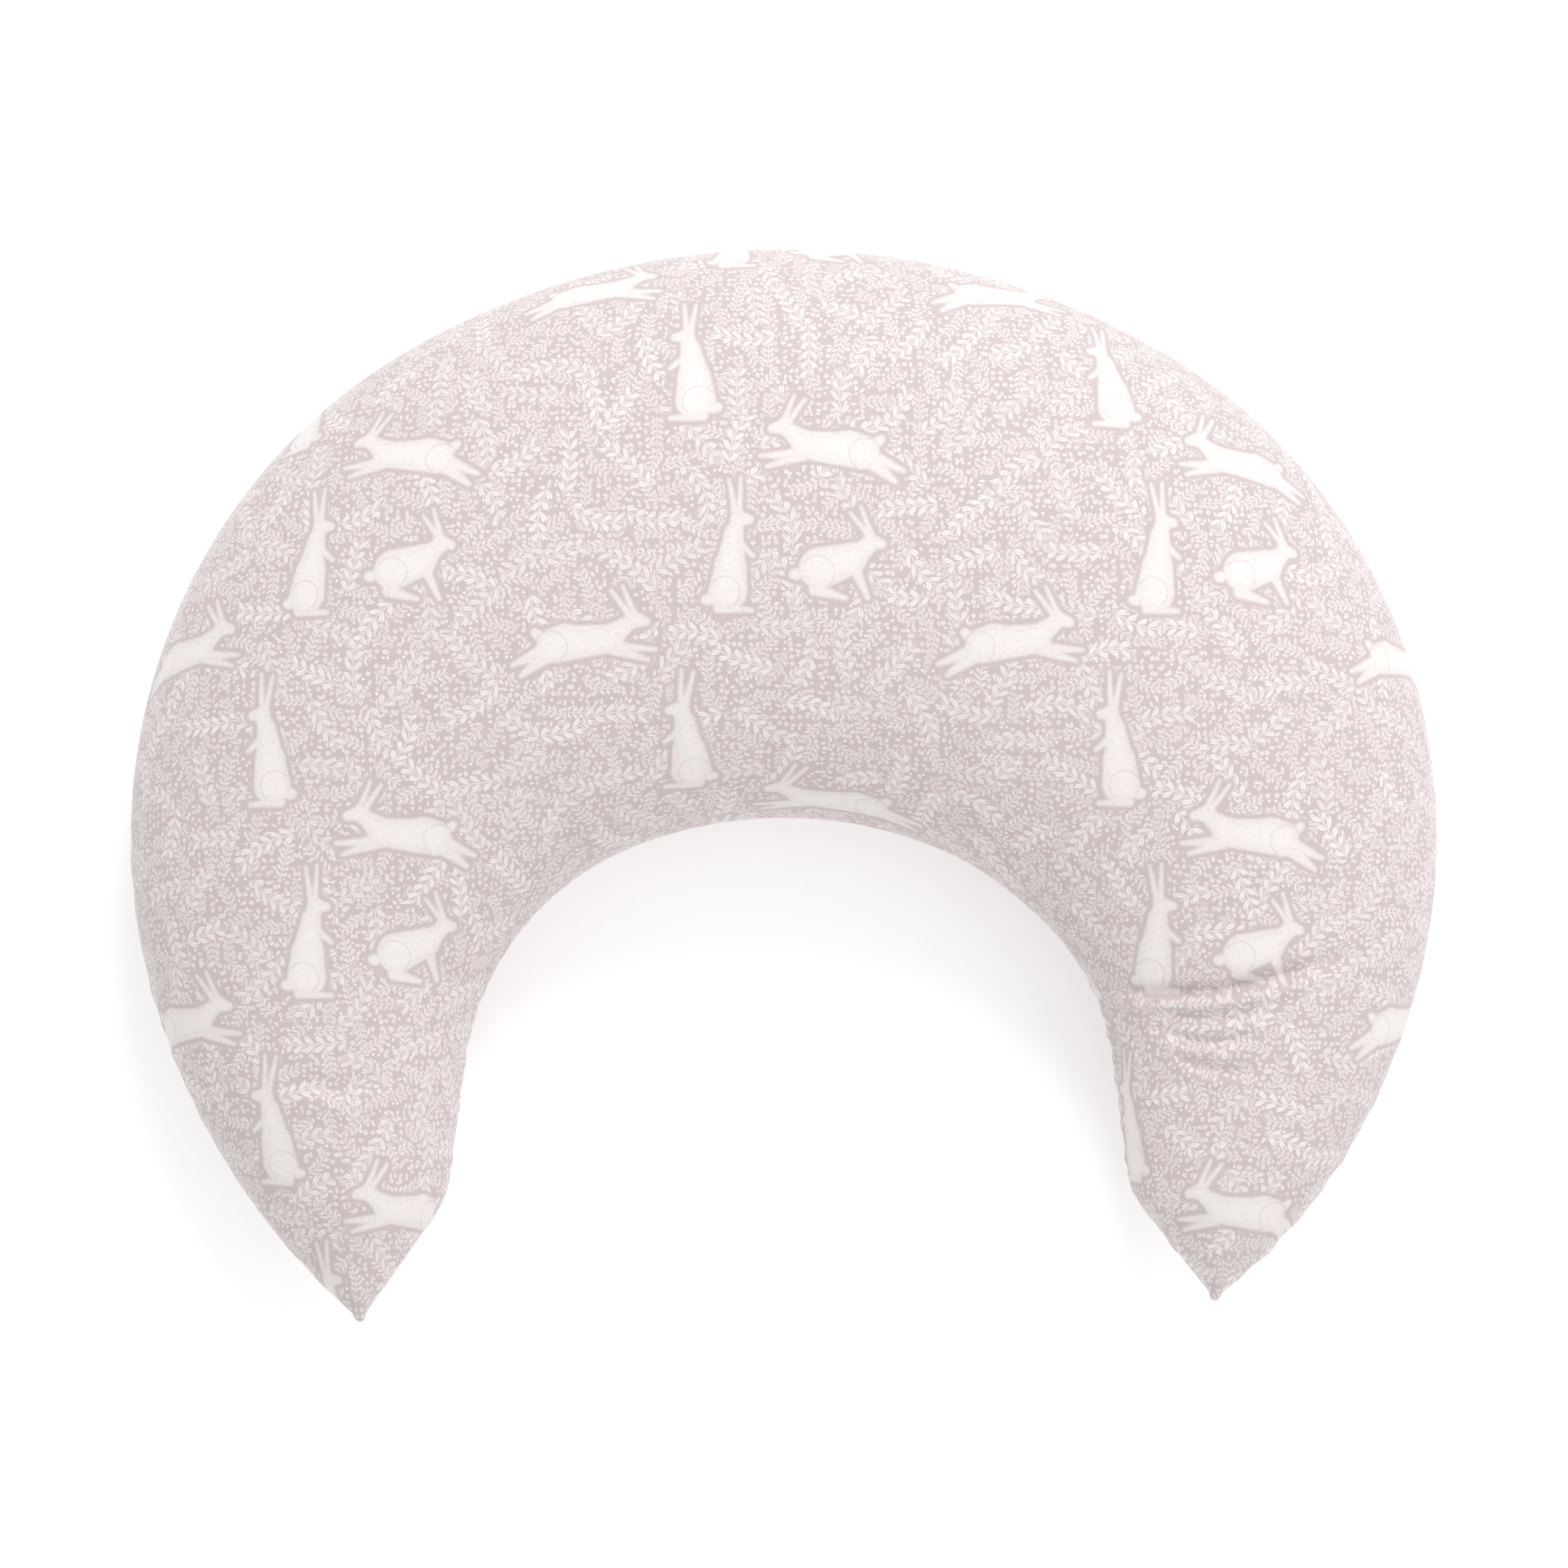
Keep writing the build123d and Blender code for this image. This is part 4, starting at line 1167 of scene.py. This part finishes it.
def sag_from(stations, moved):
    """A sampler of the settled cloth's displacement for the cover's panels."""
    size = np.linalg.norm(moved, axis=-1, keepdims=True)
    moved = moved * np.minimum(1, SIM_CAP / np.maximum(size, 1e-6))
    whole = np.concatenate([moved, moved[:, :1]], 1)
    run = np.arange(len(whole))

    def sample(target, upper, count, points):
        columns = whole[:, : SIM_TOP + 1] if upper else whole[:, SIM_TOP:]
        t = spread(count) * (columns.shape[1] - 1)
        body = slice(SIM_TIP_ROWS, -SIM_TIP_ROWS)
        place = np.interp(target.signed, stations.signed[body], run[body])
        low = np.clip(place.astype(int), 0, len(run) - 2)
        part = (place - low)[:, None, None]
        rows = columns[low] * (1 - part) + columns[low + 1] * part
        left = np.clip(t.astype(int), 0, columns.shape[1] - 2)
        share = (t - left)[None, :, None]
        field = rows[:, left] * (1 - share) + rows[:, left + 1] * share
        still = zip_share(target.signed)[:, None]
        edge = np.arange(count) / (count - 1)
        from_outer = edge if upper else 1 - edge
        calm = 1 - still * np.exp(-((from_outer / ZIP_CALM) ** 2))[None, :]
        field = field * calm[..., None] * smooth((1 - np.abs(target.signed)) / TIP_CALM)[:, None, None]
        z, rise = points[..., 2], field[..., 2]
        field[..., 2] = np.where(z < REST_BAND, np.maximum(rise, REST_CLEAR - z), rise)
        return field

    return sample


# ---- Stage -------------------------------------------------------
def make_stage():
    tree = Tree("glowing_stage_paper")
    grain = tree.noise(tree.place(), 90.0, 3.0)
    colour = tree.mix(grain * 0.1, (0.93, 0.93, 0.93), (0.96, 0.96, 0.96))
    tree.shade("Base Color", colour)
    tree.shade("Roughness", 0.9)
    # Painted light: the floor glows by itself, which keeps it evenly white and lightens the pillow's shadow
    # on it.
    tree.shade("Emission Color", (1.0, 1.0, 1.0, 1.0))
    tree.shade("Emission Strength", FLOOR_GLOW)
    size, z = FLOOR_SIZE, CAD_LOW[2] - FLOOR_GAP
    corners = [(-size, -size, z), (size, -size, z), (size, size, z), (-size, size, z)]
    floor = new_object("stage_floor", corners, [(0, 1, 2, 3)], tree.material, False)


# FLOOR_GLOW is the floor's painted glow, which lifts its own brightness and the pillow's shadow on it.
FLOOR_SIZE, FLOOR_GAP, FLOOR_GLOW = 6.0, 0.0006, 0.22
WORLD_LIGHT, LIGHT_TARGET = 0.8, (0, 0, 0.05)
# Soft lights: place, size and power.
LIGHTS = {
    "key": ((0.4, 1.8, 2.1), 1.1, 32),
    "fill": ((1.7, -0.2, 1.9), 1.8, 6),
    "front": ((1.1, -1.6, 1.9), 1.8, 4),
}
CAMERA_DISTANCE, FRAME_WIDTH, SENSOR = 2600.0, 741.3, 36.0


def area_light(name, place, size, power):
    data = bpy.data.lights.new(name, "AREA")
    data.shape, data.size, data.energy = "DISK", size, power
    light = bpy.data.objects.new(name, data)
    bpy.context.scene.collection.objects.link(light)
    light.location = place
    light.rotation_euler = (Vector(LIGHT_TARGET) - Vector(place)).to_track_quat("-Z", "Y").to_euler()


def make_lights():
    world = bpy.data.worlds.new("studio")
    world.use_nodes = True
    background = world.node_tree.nodes["Background"]
    background.inputs["Color"].default_value = (1.0, 1.0, 1.0, 1.0)
    background.inputs["Strength"].default_value = WORLD_LIGHT
    bpy.context.scene.world = world
    for name, (place, size, power) in LIGHTS.items():
        area_light(name, place, size, power)


def make_camera():
    """Looks straight down. The frame's width is measured at the height of the crescent's widest line."""
    data = bpy.data.cameras.new("camera")
    data.sensor_width = SENSOR
    data.lens = SENSOR * CAMERA_DISTANCE / FRAME_WIDTH
    camera = bpy.data.objects.new("camera", data)
    camera.location = (0, 0, (BELLY_Z + CAMERA_DISTANCE) * MM)
    bpy.context.scene.collection.objects.link(camera)
    bpy.context.scene.camera = camera
    bpy.context.scene.view_settings.view_transform = "Standard"


materials = make_materials()
sag = sag_from(*simulate_cover())
make_cover(materials["print"], sag)
make_tapes(materials["tape"])
make_coils(materials["coil"], materials["thread"])
make_slider(materials["enamel"])
make_pull(materials["enamel"])
for node in ("zip_top_stops", "zip_bottom_stop"):
    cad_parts[node].data.materials.clear()
    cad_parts[node].data.materials.append(materials["enamel"])
make_topstitching(materials["thread"])
make_label(materials["label"])
make_seam_threads(materials["thread"])
make_liner(materials["liner"])
make_closing_stitches(materials["thread"])
make_fill(materials["fill"])
make_stage()
make_lights()
make_camera()
